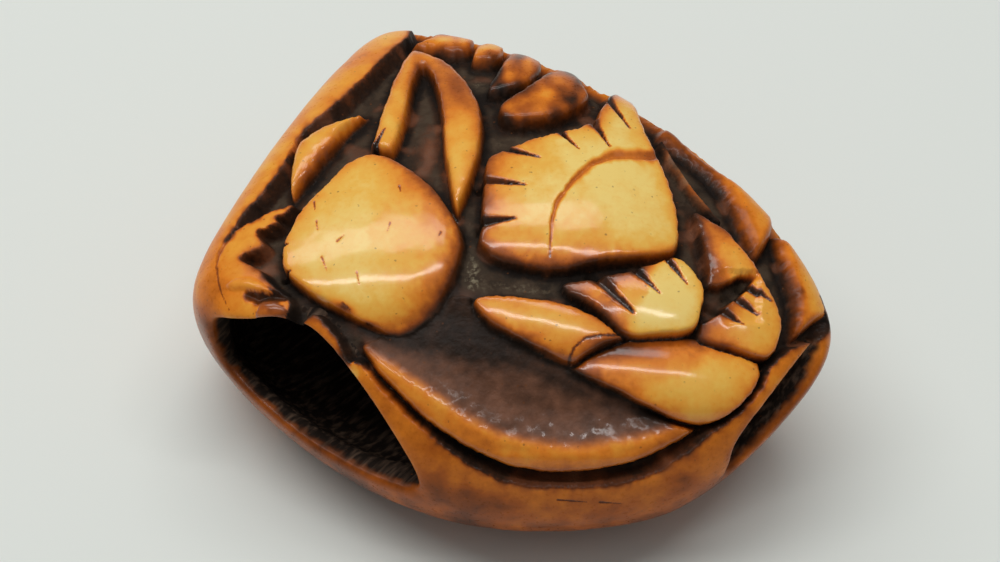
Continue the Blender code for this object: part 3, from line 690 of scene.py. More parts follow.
HAIRLINES = (
    ((-22.1, 1.0), (-22.0, 0.0), (-21.8, -0.9), (-21.1, -2.4)),
    ((4.5, -17.1), (6.8, -17.3)), ((7.8, -17.3), (9.6, -17.4)),
    ((-14.4, 5.9), (-14.3, 5.1)), ((-14.2, 4.4), (-14.1, 3.6)), ((-13.8, 1.6), (-13.4, 0.6)),
    ((-11.1, 0.5), (-10.9, -0.5)), ((-7.8, 7.1), (-7.7, 6.7)), ((-8.5, 4.2), (-8.7, 3.6)),
    ((-4.6, 3.6), (-4.8, 3.2)), ((-12.6, 2.8), (-12.0, 3.3)), ((-12.3, -1.7), (-11.7, -2.2)),
    ((-10.6, -3.1), (-10.1, -3.3)),
)
HAIR_WIDTH = 0.13
HAIR_DEPTH = 0.05
print(len(NOTCHES), "notches and", len(HAIRLINES), "hairlines")

# %% Patches of stain, dust and polish
MOTTLED = (("top_oval", 0.32), ("top_lump", 0.3), ("top_strip", 0.3), ("top_bead", 0.2),
           ("fold", 0.1), ("lens_leaf", 0.1), ("crescent", 0.08))
# Each patch: its middle, its two radii, its turn, and how much is laid on.
# A patch on the plates also has its shade.
STAINED = (
    ("plates", (
        (-1.0, 7.6, 1.1, 2.6, 0, 0.5, 0.3), (-3.4, 14.9, 2.6, 1.0, -60, 0.85, 0.3),
        (-20.6, 3.0, 2.2, 0.9, 35, 0.5, 0.72), (17.5, -1.6, 1.4, 1.7, 0, 0.8, 0.16),
        (-12.2, -2.0, 0.7, 0.3, -25, 0.9, 0.1), (-10.3, -3.2, 0.7, 0.25, -15, 0.7, 0.1),
        (-4.3, 19.4, 0.5, 0.25, 0, 0.9, 0.1), (-22.4, 0.4, 1.6, 2.6, 0, 0.4, 0.34),
        (13.5, -12.6, 2.0, 1.0, 35, 0.4, 0.32), (9.4, -5.2, 3.0, 0.7, -8, 0.75, 0.12),
        (8.0, 0.2, 2.0, 0.7, -20, 0.4, 0.2), (-14.4, -2.9, 0.6, 0.4, 0, 0.6, 0.2),
        (-12.2, -5.9, 0.5, 0.7, 30, 0.85, 0.04), (-11.4, -6.9, 0.5, 0.6, 20, 0.5, 0.72),
        (-21.3, -6.4, 3.6, 1.0, -55, 0.6, 0.2), (-19.0, 0.9, 1.0, 0.4, -20, 0.5, 0.25),
        (8.1, 14.6, 1.1, 1.0, -50, 0.95, 0.05), (7.4, 12.6, 0.8, 1.2, 0, 0.5, 0.3),
        (12.6, 9.6, 0.5, 1.2, 20, 0.3, 0.4),
    )),
    ("red", (
        (-12.0, 15.6, 1.6, 0.6, 45, 0.7), (-5.7, 11.0, 0.8, 1.7, -10, 1.0),
        (-4.2, 8.8, 0.4, 1.2, 10, 0.5), (15.3, 4.6, 0.5, 1.6, 0, 0.6),
        (-15.0, 14.0, 1.6, 0.6, 50, 0.5), (13.6, 8.2, 0.4, 1.6, 25, 0.3),
        (17.0, -1.3, 0.9, 0.9, 0, 0.4), (20.9, 0.4, 0.4, 1.4, 25, 0.35),
        (-10.4, -5.2, 1.2, 0.3, -10, 0.5), (-5.0, -7.6, 3.6, 0.7, -35, 0.6),
        (1.5, -10.6, 3.0, 0.7, -20, 0.5), (5.0, -16.0, 7.0, 0.6, 0, 0.6),
        (13.8, -13.9, 3.5, 0.5, 38, 0.5), (-19.6, 2.6, 0.8, 0.6, 20, 0.5),
        (-19.0, 1.5, 1.0, 0.5, 20, 1.0),
    )),
    # The dark patches bring the ground towards black at the front foot of the disc and the
    # leaves and along the top of the dish.
    ("dark", (
        (-7.0, -4.4, 3.6, 1.0, -8, 0.9), (-4.2, -3.9, 3.6, 1.6, -22, 0.85),
        (-3.2, -1.8, 1.5, 2.4, 20, 0.85), (-15.8, -1.8, 1.4, 1.2, -45, 0.8),
        (-13.0, -3.6, 2.0, 0.9, -45, 0.8), (-1.2, -4.6, 4.6, 1.9, -15, 0.9),
        (5.2, -8.0, 3.4, 0.7, -28, 0.8), (11.5, -10.6, 2.6, 0.5, -20, 0.7),
    )),
    ("dust", (
        (-1.6, 16.6, 2.4, 0.7, -10, 0.4), (1.6, 12.0, 3.4, 0.5, 6, 0.3),
        (-2.3, 1.2, 0.7, 2.2, 0, 0.9), (1.8, 0.1, 3.4, 0.5, -6, 0.4),
        (-2.5, 5.6, 0.5, 1.6, 10, 0.35), (-8.6, 13.4, 0.5, 1.0, 0, 0.25),
        (-16.4, -1.6, 0.9, 0.8, 0, 0.2), (-9.5, -4.4, 0.9, 0.3, -20, 0.3),
        (-14.8, 7.7, 0.3, 0.2, 10, 1.0),
    )),
    ("polish", (
        (6.2, -12.2, 4.6, 1.4, 3, 1.0), (-3.6, -9.3, 4.0, 0.5, -33, 0.4),
    )),
)
print(len(MOTTLED), "plates are mottled")

# %% The plates, from the back forwards
# Each plate: its outline, level, crown, reach, edge, moat, tone, soak and polish, and
# whatever else it has. A pit is sunk as soon as the plate that it lies in stands.
PLATES = (
    ("back_strip", -0.1, 0.1, 1.2, 1.0, 0.4, 0.76, (205, 0.4, 1.0), 0.15,
     {"tilt": (210, 0.2), "merge": True}),
    ("right_strip", -0.1, 0.1, 1.0, 0.8, 0.4, 0.84, (200, 0.4, 0.9), 0.15, {"merge": True}),
    ("top_strip", -0.2, 0.2, 0.8, 0.4, 0.3, 0.78, (-90, 0.2, 0.4), 0.3, {}),
    ("top_bead", -0.2, 0.3, None, 0.4, 0.2, 0.84, (-90, 0.2, 0.4), 0.4, {}),
    ("top_lump", -0.3, 0.4, None, 0.4, 0.3, 0.66, (180, 0.4, 0.8), 0.4, {}),
    ("top_oval", -0.1, 0.4, None, 0.4, 0.5, 0.5, (180, 0.3, 0.6), 0.4, {}),
    ("lens_leaf", -0.3, 0.5, 1.2, 0.4, 0.2, 0.8, (-45, 0.12, 0.3), 1.0, {"tilt": (-45, 0.15)}),
    ("knob", 0.1, 0.3, None, 0.5, 0.4, 0.42, (60, 0.1, 0.3), 1.0, {"merge": True}),
    ("tongue", 0.1, 0.2, None, 0.5, 0.4, 0.66, (-60, 0.05, 0.1), 0.7, {"merge": True}),
    ("strut_chip", 0.0, 0.15, None, 0.3, 0.4, 0.85, (90, 0.1, 0.2), 1.0, {"merge": True}),
    ("fold", -0.2, 0.3, 1.2, 0.4, 0.4, 0.8, (60, 0.12, 0.35), 1.0, {}),
    ("crescent", -0.3, 0.4, 1.8, 0.8, 0.4, 0.65, (-60, 0.3, 0.4), 0.8, {}),
    ("low_leaf", -0.3, 0.6, None, 0.4, 0.3, 0.86, (110, 0.35, 1.2), 1.0,
     {"tilt": (95, 0.7), "roll": (-70, 0.5, 0.3)}),
    ("side_shell", -0.1, 0.4, None, 0.4, 0.2, 0.84, (180, 0.25, 1.0), 1.0,
     {"tilt": (180, 0.3), "foot": -0.9}),
    ("mid_leaf", -0.2, 0.35, None, 0.4, 0.3, 0.86, (-100, 0.35, 0.6), 1.0,
     {"roll": (-100, 0.3, 0.3)}),
    ("shell", 0.0, 0.4, None, 0.35, 0.2, 1.0, (160, 0.12, 0.9), 1.0,
     {"tilt": (150, 0.4), "foot": -0.9}),
    ("wing", 0.1, 0.4, None, 0.4, 0.4, 1.0, (225, 0.25, 0.85), 1.0,
     {"bend": ((3.0, 2.3), -97, 26, 0.7)}),
    ("disc", 0.25, 0.3, None, 0.5, 0.5, 0.93, (0, 0.25, 1.0), 1.0,
     {"bend": ((-9.5, -0.4), -90, 16, 0.9), "roll": (10, 0.45, 0.5)}),
)
PITS = {
    "crescent": ("dish", {"floor": -1.4, "edge": 3.2, "shade": 0.3, "rough": 0.8,
                          "dusk": 1.0, "soft": True}),
    "side_shell": ("side_pit", {"floor": -1.0, "edge": 0.4}),
}
print("the upper design has", len(PLATES), "plates and", len(PITS), "pits")


# %% The upper design
def upper_design(sheet, rim):
    """The carving of the upper side."""
    relief = Relief(sheet, rim)
    sink(relief, CURVES["basin"], GROUND, edge=0.6, bleed=0.13)
    ridge(relief, THIN_RIDGE, width=0.6, level=-0.4, tone=0.45)
    cut(relief, KNOB_GAP, width=0.9, depth=0.4, taper=False, stain=0.8)
    for name, *values, extras in PLATES:
        plate(relief, CURVES[name], *values, **extras)
        if name in PITS:
            pit, depths = PITS[name]
            sink(relief, CURVES[pit], **depths)
    for name, amount in MOTTLED:
        mottle(relief, CURVES[name], amount)
    cut(relief, WING_ARC, width=0.85, depth=0.28, stain=0.55)
    cut(relief, LEAF_EDGE, width=0.5, depth=0.15, stain=0.6)
    cut(relief, CURL, width=0.16, depth=0.07, taper=False, stain=0.7)
    for start, tip, width in NOTCHES:
        cut(relief, (start, tip), width, NOTCH_DEPTH)
    for hairline in HAIRLINES:
        cut(relief, hairline, HAIR_WIDTH, HAIR_DEPTH, stain=0.65)
    for layer, rows in STAINED:
        for row in rows:
            blot(relief, layer, *row)
    return relief


print("stain lies in", sum(len(rows) for _, rows in STAINED), "patches")

# %% [markdown]
# ## The sides that are seen less
# The back, the flat left end and the belly carry plainer leaves in shallow sunk panels.
# One function draws a pointed leaf from its base, tip and width. On the belly the leaves
# stand round a flat pad, which is what the netsuke rests on.


# %% Leaves for the back, the end and the belly
PANEL_DEPTH = 0.6 * GROUND
PANEL_SHADE = 0.12


def leaf_outline(base, tip, width, points=5):
    """A pointed leaf from base to tip, as a smooth outline."""
    base, tip = np.array(base, dtype=float), np.array(tip, dtype=float)
    run = tip - base
    side = np.array([-run[1], run[0]]) / np.hypot(*run)
    near, far = [], []
    for t in np.arange(1, points) / points:
        middle = base + run * t
        bulge = side * 0.5 * width * np.sin(np.pi * t**0.8)
        near.append(middle + bulge)
        far.append(middle - bulge)
    return smooth_outline([base] + near + [tip] + far[::-1])


def side_design(panel, leaves):
    """A design of long overlapping leaves in a shallow sunk panel."""
    def design(sheet, rim):
        relief = Relief(sheet, rim)
        sink(relief, leaf_outline(*panel, points=8), PANEL_DEPTH, edge=1.0, shade=PANEL_SHADE)
        for base, tip, width in leaves:
            plate(relief, leaf_outline(base, tip, width), -0.2, 0.3, 2.0, edge=1.0, tone=0.72)
            vein = (base, 0.5 * (np.array(base) + tip), tip)
            cut(relief, vein, width=1.2, depth=0.25, stain=0.6)
        return relief
    return design


BACK_PANEL = ((-21, -1), (20, 1), 17)
BACK_LEAVES = (((-17, -3), (2, 3), 5.5), ((-7, -4), (12, 3.5), 5.5), ((4, -4), (18, 1), 5.0))
END_PANEL = ((-14, -1), (14, 1), 13)
END_LEAVES = (((-12, -3), (3, 3), 5.0), ((-2, -4), (12, 2.5), 5.0))
print("the back has", len(BACK_LEAVES), "leaves and the left end", len(END_LEAVES))

# %% The belly and its pad
PAD_RADIUS = 6.5
PAD_CORNERS = 12
BELLY_PANEL = (
    (-16.5, 8.0), (-13.0, -5.0), (-8.5, -15.0), (-1.0, -10.5), (8.0, -3.5), (17.0, 6.0),
    (13.5, 13.5), (4.0, 16.5), (-6.0, 15.5), (-13.5, 12.5),
)
BELLY_LEAF_WIDTH = 5.5
BELLY_TIPS = ((-13.5, 9.0), (-5.0, 14.0), (5.5, 14.5), (14.5, 8.0), (10.5, -0.5),
              (-8.0, -12.5), (-12.5, -2.0))


def belly_design(sheet, rim):
    """Plain leaves round the raised pad that the netsuke rests on."""
    relief = Relief(sheet, rim)
    sink(relief, smooth_outline(BELLY_PANEL), PANEL_DEPTH, edge=1.0, shade=PANEL_SHADE)
    for tip in BELLY_TIPS:
        base = 0.8 * PAD_RADIUS * np.array(tip) / np.hypot(*tip)
        leaf = leaf_outline(base, tip, BELLY_LEAF_WIDTH)
        plate(relief, leaf, -0.25, 0.2, 2.0, edge=1.0, tone=0.7)
        cut(relief, (base, tip), width=1.2, depth=0.2, stain=0.6)
    turns = 2 * np.pi * np.arange(PAD_CORNERS) / PAD_CORNERS
    pad = smooth_outline(PAD_RADIUS * np.stack([np.cos(turns), np.sin(turns)], axis=1))
    plate(relief, pad, 0.0, 0.0, 1.0, edge=1.0, tone=0.74)
    return relief


FAR = 400.0
# Each design: where it is drawn from, and how squarely a surface must face it.
DESIGNS = (
    (upper_design, EYE_AZIMUTH, EYE_HEIGHT, EYE_DISTANCE, -0.45, -0.25),
    (side_design(BACK_PANEL, BACK_LEAVES), 50, -8, FAR, 0.35, 0.6),
    (side_design(END_PANEL, END_LEAVES), 156, 2, FAR, 0.5, 0.75),
    (belly_design, -90, -89.9, FAR, 0.6, 0.85),
)
print(len(DESIGNS), "sides are carved")

# %% [markdown]
# ## Points where the knife goes
# Fine carving needs a fine mesh, but only near the cuts. The lines of the upper design
# are strewn with marks, and a tree of those marks tells any point how near it is to a
# line. Edges that are too long for their place are split in two, again and again, and
# each new mesh is relaxed and pulled back onto the block. Far from the lines the
# triangles stay large, so the whole netsuke keeps under 200,000 of them.

# %% How fine the mesh should be
FINE = 0.115
COARSE = 0.3
PLAIN = 0.62
HAIR_FINE = 0.07
GROWTH = 0.24
MARK_SPACING = 0.06
SPLIT_ROUNDS = 4


def strewn(path, closed):
    """Evenly spaced marks along a path on the sheet."""
    path = np.array(path, dtype=float)
    ends = np.roll(path, -1, axis=0) if closed else path[1:]
    marks = []
    for start, end in zip(path, ends):
        count = max(2, int(np.linalg.norm(end - start) / MARK_SPACING))
        marks.append(start + (end - start) * np.linspace(0, 1, count, endpoint=False)[:, None])
    return np.concatenate(marks)


def tree_of(marks):
    """A search tree of marks on the flat sheet."""
    tree = kdtree.KDTree(len(marks))
    for index, mark in enumerate(marks):
        tree.insert((mark[0], mark[1], 0.0), index)
    tree.balance()
    return tree


hard_lines = [strewn(curve, True) for name, curve in CURVES.items() if name != "dish"]
hard_lines += [strewn((start, tip), False) for start, tip, _ in NOTCHES]
hard_lines += [strewn(line, False) for line in (WING_ARC, CURL, THIN_RIDGE, LEAF_EDGE)]
line_tree = tree_of(np.concatenate(hard_lines))
hair_tree = tree_of(np.concatenate([strewn(line, False) for line in HAIRLINES]))
print(sum(len(line) for line in hard_lines), "marks lie along the lines")


# %% Wanted sizes and settling
EYE = MIDDLE + direction(EYE_AZIMUTH, EYE_HEIGHT) * EYE_DISTANCE
SKIN = 1.0


def wanted_size(points, normals):
    """The edge length that suits each point."""
    size = np.full(len(points), PLAIN)
    worked = ((EYE - points) * normals).sum(axis=1) > 0.0
    worked[worked] = block(points[worked]) > -SKIN
    sheet = chart(points[worked], EYE_AZIMUTH, EYE_HEIGHT, EYE_DISTANCE)
    nearness = np.empty(len(sheet))
    for index, (across, up) in enumerate(sheet):
        spot = (across, up, 0.0)
        line = min(FINE + GROWTH * line_tree.find(spot)[2], COARSE)
        nearness[index] = min(line, HAIR_FINE + 0.5 * hair_tree.find(spot)[2])
    size[worked] = nearness
    return size


def settle(points, steps=3):
    """Pull points onto the surface of the hollow block."""
    for _ in range(steps):
        gradient = slope(form, points)
        size = (gradient**2).sum(axis=1, keepdims=True)
        points = points - np.clip(form(points)[:, None] / size, -0.4, 0.4) * gradient
    return points


print("the eye stands at", EYE.round(1))

# %% Split and relax
TOO_LONG = 1.4

work = bmesh.new()
work.from_mesh(netsuke.data)
bmesh.ops.triangulate(work, faces=work.faces)
move_to(work, settle(places_of(work)))
for _ in range(SPLIT_ROUNDS):
    work.normal_update()
    work.verts.index_update()
    places = places_of(work)
    normals = np.array([vert.normal for vert in work.verts])
    ends = np.array([[vert.index for vert in edge.verts] for edge in work.edges])
    lengths = np.linalg.norm(places[ends[:, 0]] - places[ends[:, 1]], axis=1)
    wanted = wanted_size(places[ends].mean(axis=1), normals[ends].mean(axis=1))
    chosen = [edge for edge, long in zip(work.edges, lengths > TOO_LONG * wanted) if long]
    bmesh.ops.subdivide_edges(work, edges=chosen, cuts=1)
    crowded = [face for face in work.faces if len(face.verts) > 3]
    bmesh.ops.triangulate(work, faces=crowded)
    bmesh.ops.smooth_vert(work, verts=work.verts, factor=0.5,
                          use_axis_x=True, use_axis_y=True, use_axis_z=True)
    move_to(work, settle(places_of(work), steps=1))
    print("split", len(chosen), "edges, now", len(work.faces), "triangles")
uncarved = settle(places_of(work))

# %% [markdown]
# ## Carving, and what hands and dirt add
# Every point now moves in or out along the block's own normal by what the designs say.
# A hand-made surface is never quite even, so a slow ripple is left everywhere, and the
# unpolished ground keeps the small facets of the knife. The walls of the tunnel keep the
# coarse scrapes of the tool that cleared the spongy core.

# %% How uneven the antler is
RIPPLE = (2.6, 0.035)
WAVER = (0.9, 0.012)
KNIFE_FACETS = (0.55, 0.075)
CRUMBS = (0.22, 0.035)
SCRAPES = (0.8, 0.12)
SCRAPE_STRETCH = (1.6, 1.6, 0.5)
CLOUDS = (3.4, 0.14)
SMEARS = (1.1, 0.08)
PATCHES = (1.7, 1.0)
RAGGED = (0.7, 0.35)
print("the ripple is", RIPPLE[1], "mm high, and the knife's facets", KNIFE_FACETS[1])

# %% Carve
# The bare rim's shade runs from RIM_HIGH where it faces up to RIM_LOW where it faces down, and
# is lower again on the front. That fall is painted shade for the sides that the lamps behind
# and above reach least.
RIM_LOW = 0.42
RIM_HIGH = 0.62
FRONT_PAINTED_SHADE = 0.12
PATCH_SHADE = 0.2
PATCH_DUSK = 0.7


def carve(points):
    """Carve the designs, and return the new places and what the finish needs."""
    normal = slope(block, points)
    normal /= np.linalg.norm(normal, axis=1, keepdims=True)
    depth = -block(points)
    on_block = 1 - ease(depth, 0.25, 1.3)
    total = np.zeros(len(points))
    # Painted shade: the bare rim is darker where it faces down and darker again where it faces
    # the front. The clouds and smears are its own uneven tone.
    rim = RIM_LOW + (RIM_HIGH - RIM_LOW) * ease(normal[:, 2], -0.5, 0.6)
    rim -= FRONT_PAINTED_SHADE * ease(-normal[:, 1], 0.0, 0.7)
    rim += unevenness(points, *CLOUDS) + unevenness(points, *SMEARS)
    bare = {"shade": rim, "rough": 0.0, "dusk": 0.0, "dust": 0.0, "polish": RIM_POLISH}
    bare = {name: np.zeros(len(points)) + value for name, value in bare.items()}
    finish = {name: layer.copy() for name, layer in bare.items()}
    free = on_block.copy()
    for design, azimuth, elevation, distance, low, high in DESIGNS:
        sight = MIDDLE + direction(azimuth, elevation) * distance - points
        sight /= np.linalg.norm(sight, axis=1, keepdims=True)
        facing = ease((normal * sight).sum(axis=1), low, high) * free
        free -= facing
        worked = facing > 0
        relief = design(chart(points[worked], azimuth, elevation, distance), rim[worked])
        share = facing[worked]
        total[worked] += relief.height * share
        for name, layer in finish.items():
            layer[worked] += (getattr(relief, name) - bare[name][worked]) * share
    patches = ease(unevenness(points, *PATCHES), 0.1, 0.5)
    patches *= finish["rough"] * (1 - finish["dusk"]) * on_block
    finish["shade"] += PATCH_SHADE * patches
    finish["dusk"] += PATCH_DUSK * patches
    finish["inside"] = ease(depth + unevenness(points, *RAGGED), 0.25, 0.9)
    polish = unevenness(points, *RIPPLE) + unevenness(points, *WAVER)
    ground = unevenness(points, *KNIFE_FACETS) + unevenness(points, *CRUMBS)
    total += polish + ground * finish["rough"] * on_block
    places = points + normal * total[:, None]
    scrapes = unevenness(points, *SCRAPES, stretch=SCRAPE_STRETCH) * finish["inside"]
    return places - normal * scrapes[:, None], finish


carved, finish = carve(uncarved)
print("the carving reaches", round(float(np.abs(carved - uncarved).max()), 2), "mm deep")

# %% Rub the foot flat and set the scale
move_to(work, carved)
for name, values in finish.items():
    layer = work.verts.layers.float.new(name)
    for vert, value in zip(work.verts, np.clip(values, 0.0, 1.0)):
        vert[layer] = value
everything = work.verts[:] + work.edges[:] + work.faces[:]
bmesh.ops.bisect_plane(work, geom=everything, dist=1e-5, plane_co=(0, 0, FOOT_HEIGHT),
                       plane_no=(0, 0, 1), clear_inner=True)
rim = [edge for edge in work.edges if edge.is_boundary]
bmesh.ops.contextual_create(work, geom=rim)
bmesh.ops.translate(work, verts=work.verts, vec=(0, 0, -FOOT_HEIGHT))
bmesh.ops.scale(work, verts=work.verts, vec=(MM, MM, MM))
bmesh.ops.triangulate(work, faces=work.faces)
bmesh.ops.recalc_face_normals(work, faces=work.faces)
work.to_mesh(netsuke.data)
triangles = len(work.faces)
work.free()
netsuke.data.shade_smooth()
print("the carving has", triangles, "triangles")

# %% [markdown]
# ## Shader maths
# A node tree is easier to read as arithmetic. This small class wraps a socket, so that
# adding or multiplying two of them adds the right Math node, and every other node comes
# from one method.


# %% The nodes of a material
def set_stops(ramp, stops):
    """Give a colour ramp its stops: a place and a colour each."""
    while len(ramp.elements) > 1:
        ramp.elements.remove(ramp.elements[-1])
    for index, (place, colour) in enumerate(stops):
        stop = ramp.elements[0] if index == 0 else ramp.elements.new(place)
        stop.position = place
        stop.color = (*colour, 1.0)


class Finish:
    """Builds the nodes of one material."""

    def __init__(self, name):
        self.material = bpy.data.materials.new(name)
        self.material.use_nodes = True
        self.tree = self.material.node_tree
        self.shader = self.tree.nodes["Principled BSDF"]

    def node(self, kind, output=0, settings=None, **values):
        """Any node: its settings first, then the values or links of its sockets."""
        made = self.tree.nodes.new("ShaderNode" + kind)
        for key, value in (settings or {}).items():
            if key == "stops":
                set_stops(made.color_ramp, value)
            else:
                setattr(made, key, value)
        for key, value in values.items():
            place = made.inputs[int(key[1:])] if key[1:].isdigit() else made.inputs[key]
            self.feed(place, value)
        return Wire(self, made.outputs[output])

    def feed(self, place, value):
        """Link a wire to a socket, or set the socket's own value."""
        if isinstance(value, Wire):
            self.tree.links.new(value.socket, place)
        else:
            place.default_value = value


print("a finish starts from one Principled shader")


# %% A socket that does arithmetic
class Wire:
    """A socket with operators."""

    def __init__(self, finish, socket):
        self.finish = finish
        self.socket = socket

    def maths(self, operation, other, flipped=False):
        first, second = (other, self) if flipped else (self, other)
        settings = {"operation": operation}
        return self.finish.node("Math", settings=settings, _0=first, _1=second)

    def __add__(self, other):
        return self.maths("ADD", other)

    __radd__ = __add__

    def __sub__(self, other):
        return self.maths("SUBTRACT", other)

    def __rsub__(self, other):
        return self.maths("SUBTRACT", other, flipped=True)

    def __mul__(self, other):
        return self.maths("MULTIPLY", other)

    __rmul__ = __mul__

    def between(self, low, high):
        """0 below low, 1 above high, and a smooth step between."""
        settings = {"interpolation_type": "SMOOTHSTEP", "clamp": True}
        return self.finish.node("MapRange", settings=settings, _0=self, _1=low, _2=high)


def mixed(finish, share, first, second):
    """A colour between two others."""
    settings = {"data_type": "RGBA"}
    return finish.node("Mix", output=2, settings=settings, _0=share, _6=first, _7=second)


print("wires can be added, subtracted and multiplied")

# %% [markdown]
# ## Stained and polished antler
# One ramp turns shade into colour, from the near-black of old stain, through red-brown
# and orange, to the pale yellow of worn antler. Clouds of noise shift the shade a
# little, pores darken it in dots, the ground turns greyish where dust lies, and the dish
# has a purplish cast. Polish is a thin clear coat on what hands have rubbed, and the
# rough ground has none.

# %% The antler's finish
STAIN_RAMP = (
    (0.0, (0.010, 0.006, 0.004)), (0.1, (0.04, 0.015, 0.006)), (0.22, (0.15, 0.034, 0.005)),
    (0.38, (0.44, 0.10, 0.008)), (0.54, (0.77, 0.22, 0.016)), (0.70, (0.88, 0.37, 0.04)),
    (0.85, (0.90, 0.50, 0.08)), (1.0, (0.94, 0.67, 0.19)),
)
DUST = (0.07, 0.048, 0.03, 1.0)
PALE_DUST = (0.24, 0.20, 0.13, 1.0)
DUSK_LIGHT = (0.23, 0.11, 0.068, 1.0)
DUSK_DARK = (0.02, 0.012, 0.008, 1.0)
GRAIN_TURN = 0.9
GRAIN_SIZE = (0.004, 0.0004, 0.0004)
TUNNEL_DARK = (0.016, 0.010, 0.007, 1.0)
TUNNEL_PALE = (0.12, 0.075, 0.05, 1.0)
PORE_BROWN = (0.16, 0.05, 0.012, 1.0)
PORES_PER_METRE = 1500.0
BUMP_HEIGHT = 0.00008
COAT = 0.7
COAT_ROUGHNESS = 0.13
SHEEN = 0.12


def antler_finish():
    """Polished stag antler, stained by handling."""
    antler = Finish("antler")
    spot = antler.node("TexCoord", output="Object")

    def attribute(name):
        settings = {"attribute_name": name}
        return antler.node("Attribute", output="Fac", settings=settings)

    def clouds(scale, detail, distortion=0.0):
        return antler.node("TexNoise", output="Fac", Vector=spot, Scale=scale, Detail=detail,
                           Distortion=distortion)

    shade, rough, polish = attribute("shade"), attribute("rough"), attribute("polish")
    dusk, dust, inside = attribute("dusk"), attribute("dust"), attribute("inside")
    broad, mottle, grain = clouds(260.0, 2.0), clouds(900.0, 3.0, 0.4), clouds(3200.0, 4.0)
    level = shade + (broad - 0.5) * 0.16 + (mottle - 0.5) * 0.16 + (grain - 0.5) * 0.10
    colour = antler.node("ValToRGB", output="Color", settings={"stops": STAIN_RAMP}, Fac=level)
    patchy = 0.25 + 0.4 * broad.between(0.3, 0.7) + 0.35 * mottle.between(0.4, 0.6)
    dusty = dust.between(0.0, 0.5) * patchy
    colour = mixed(antler, dusty, colour, DUST)
    pale = dust.between(0.5, 1.0) * grain.between(0.45, 0.65)
    colour = mixed(antler, pale, colour, PALE_DUST)
    worn_dish = (shade + (mottle - 0.5) * 0.3).between(0.0, 0.6)
    dusky = mixed(antler, worn_dish, DUSK_DARK, DUSK_LIGHT)
    colour = mixed(antler, dusk * 0.9, colour, dusky)
    along_tunnel = antler.node("Mapping", settings={"vector_type": "TEXTURE"}, Vector=spot,
                               Rotation=(0, 0, GRAIN_TURN), Scale=GRAIN_SIZE)
    streaks = antler.node("TexNoise", output="Fac", Scale=1.0, Detail=4.0, Vector=along_tunnel)
    tunnel_wall = mixed(antler, streaks.between(0.42, 0.75), TUNNEL_DARK, TUNNEL_PALE)
    colour = mixed(antler, inside, colour, tunnel_wall)
    cells = antler.node("TexVoronoi", output="Distance", Vector=spot, Scale=PORES_PER_METRE)
    pores = (1 - cells.between(0.08, 0.2)) * grain.between(0.52, 0.6)
    colour = mixed(antler, pores * 0.55, colour, PORE_BROWN)
    antler.feed(antler.shader.inputs["Base Color"], colour)
    gloss = 0.3 + rough * (0.45 - dusk * 0.2) + inside * 0.5 + (grain - 0.5) * 0.2
    antler.feed(antler.shader.inputs["Roughness"], gloss)
    height = grain * (rough * 2.2 + 0.25) + mottle * 0.5 - pores * 0.3
    bump = antler.node("Bump", Strength=0.4, Distance=BUMP_HEIGHT, Height=height)
    antler.feed(antler.shader.inputs["Normal"], bump)
    antler.feed(antler.shader.inputs["Coat Weight"], polish * (1 - inside) * COAT)
    antler.shader.inputs["Coat Roughness"].default_value = COAT_ROUGHNESS
    antler.shader.inputs["Specular IOR Level"].default_value = SHEEN
    return antler.material


netsuke.data.materials.clear()
netsuke.data.materials.append(antler_finish())
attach(netsuke, "root")
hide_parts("netsuke")
print("the antler finish has", len(netsuke.active_material.node_tree.nodes), "nodes")

# %% [markdown]
# ## The stage
# A plain pale sheet lies under the netsuke. Light comes from above and behind, as from a
# long window and a lamp, so that each plate carries two soft bright streaks along its
# back and a soft shadow falls towards the viewer.

# %% Floor
FLOOR_SIZE = 4.0
FLOOR_COLOUR = (0.80, 0.83, 0.78, 1.0)
FLOOR_ROUGHNESS = 0.75

floor_work = bmesh.new()
bmesh.ops.create_grid(floor_work, x_segments=1, y_segments=1, size=FLOOR_SIZE / 2)
floor = made_of("floor", floor_work)
sheet_finish = Finish("pale_sheet")
sheet_finish.shader.inputs["Base Color"].default_value = FLOOR_COLOUR
sheet_finish.shader.inputs["Roughness"].default_value = FLOOR_ROUGHNESS
floor.data.materials.append(sheet_finish.material)
print("the floor is", FLOOR_SIZE, "m wide")


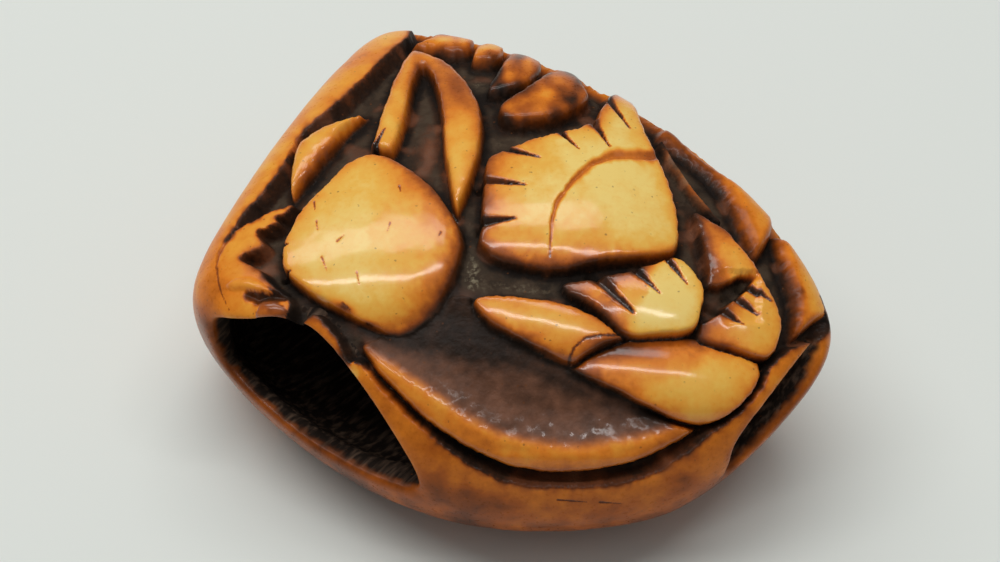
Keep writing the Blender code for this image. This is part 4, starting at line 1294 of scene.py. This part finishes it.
# %% Lights
# Each lamp: its place and its two sizes in metres, and its power in watts.
LAMPS = {
    "window": ((-0.14, 0.30, 0.55), (0.76, 0.13), 1.32),
    "lamp": ((-0.07, 0.01, 0.62), (0.90, 0.045), 1.9),
    "sky": ((0.0, 0.10, 0.80), (1.2, 1.2), 0.7),
}
ROOM_COLOUR = (0.95, 0.98, 1.0, 1.0)
ROOM_STRENGTH = 0.2


def soft_light(name, place, size, power):
    """A rectangular lamp that looks at the netsuke."""
    lamp = bpy.data.lights.new(name, "AREA")
    lamp.shape = "RECTANGLE"
    lamp.size, lamp.size_y = size
    lamp.energy = power
    ahead = Vector(place).normalized()
    across = (Vector((1, 0, 0)) - ahead * ahead.x).normalized()
    turned = Matrix((across, ahead.cross(across), ahead)).transposed()
    placed(name, lamp).matrix_world = Matrix.Translation(place) @ turned.to_4x4()


for name, lamp_values in LAMPS.items():
    soft_light(name, *lamp_values)
world = bpy.data.worlds.new("room")
world.use_nodes = True
world.node_tree.nodes["Background"].inputs["Color"].default_value = ROOM_COLOUR
world.node_tree.nodes["Background"].inputs["Strength"].default_value = ROOM_STRENGTH
bpy.context.scene.world = world
bpy.context.scene.view_settings.view_transform = "Standard"
print(len(LAMPS), "lamps and a pale room light the scene")

# %% [markdown]
# ## The camera
# The camera stands where the design was drawn from, a little over an arm's width away,
# looking down at about 48 degrees, so that the plates fall as they were laid out.

# %% Camera
FOCAL_PER_WIDTH = 2.048
SENSOR = 36.0

camera = bpy.data.cameras.new("camera")
camera.sensor_width = SENSOR
camera.lens = SENSOR * FOCAL_PER_WIDTH
camera.clip_start = 0.01
viewer = placed("camera", camera)
target = (MIDDLE + EYE_TARGET - np.array([0.0, 0.0, FOOT_HEIGHT])) * MM
back = direction(EYE_AZIMUTH, EYE_HEIGHT)
viewer.location = Vector(target + back * EYE_DISTANCE * MM)
viewer.rotation_euler = Vector(back).to_track_quat("Z", "Y").to_euler()
bpy.context.scene.camera = viewer
print("the camera stands at", [round(value, 4) for value in viewer.location])

# %% Bring the scene up to date
bpy.context.view_layer.update()
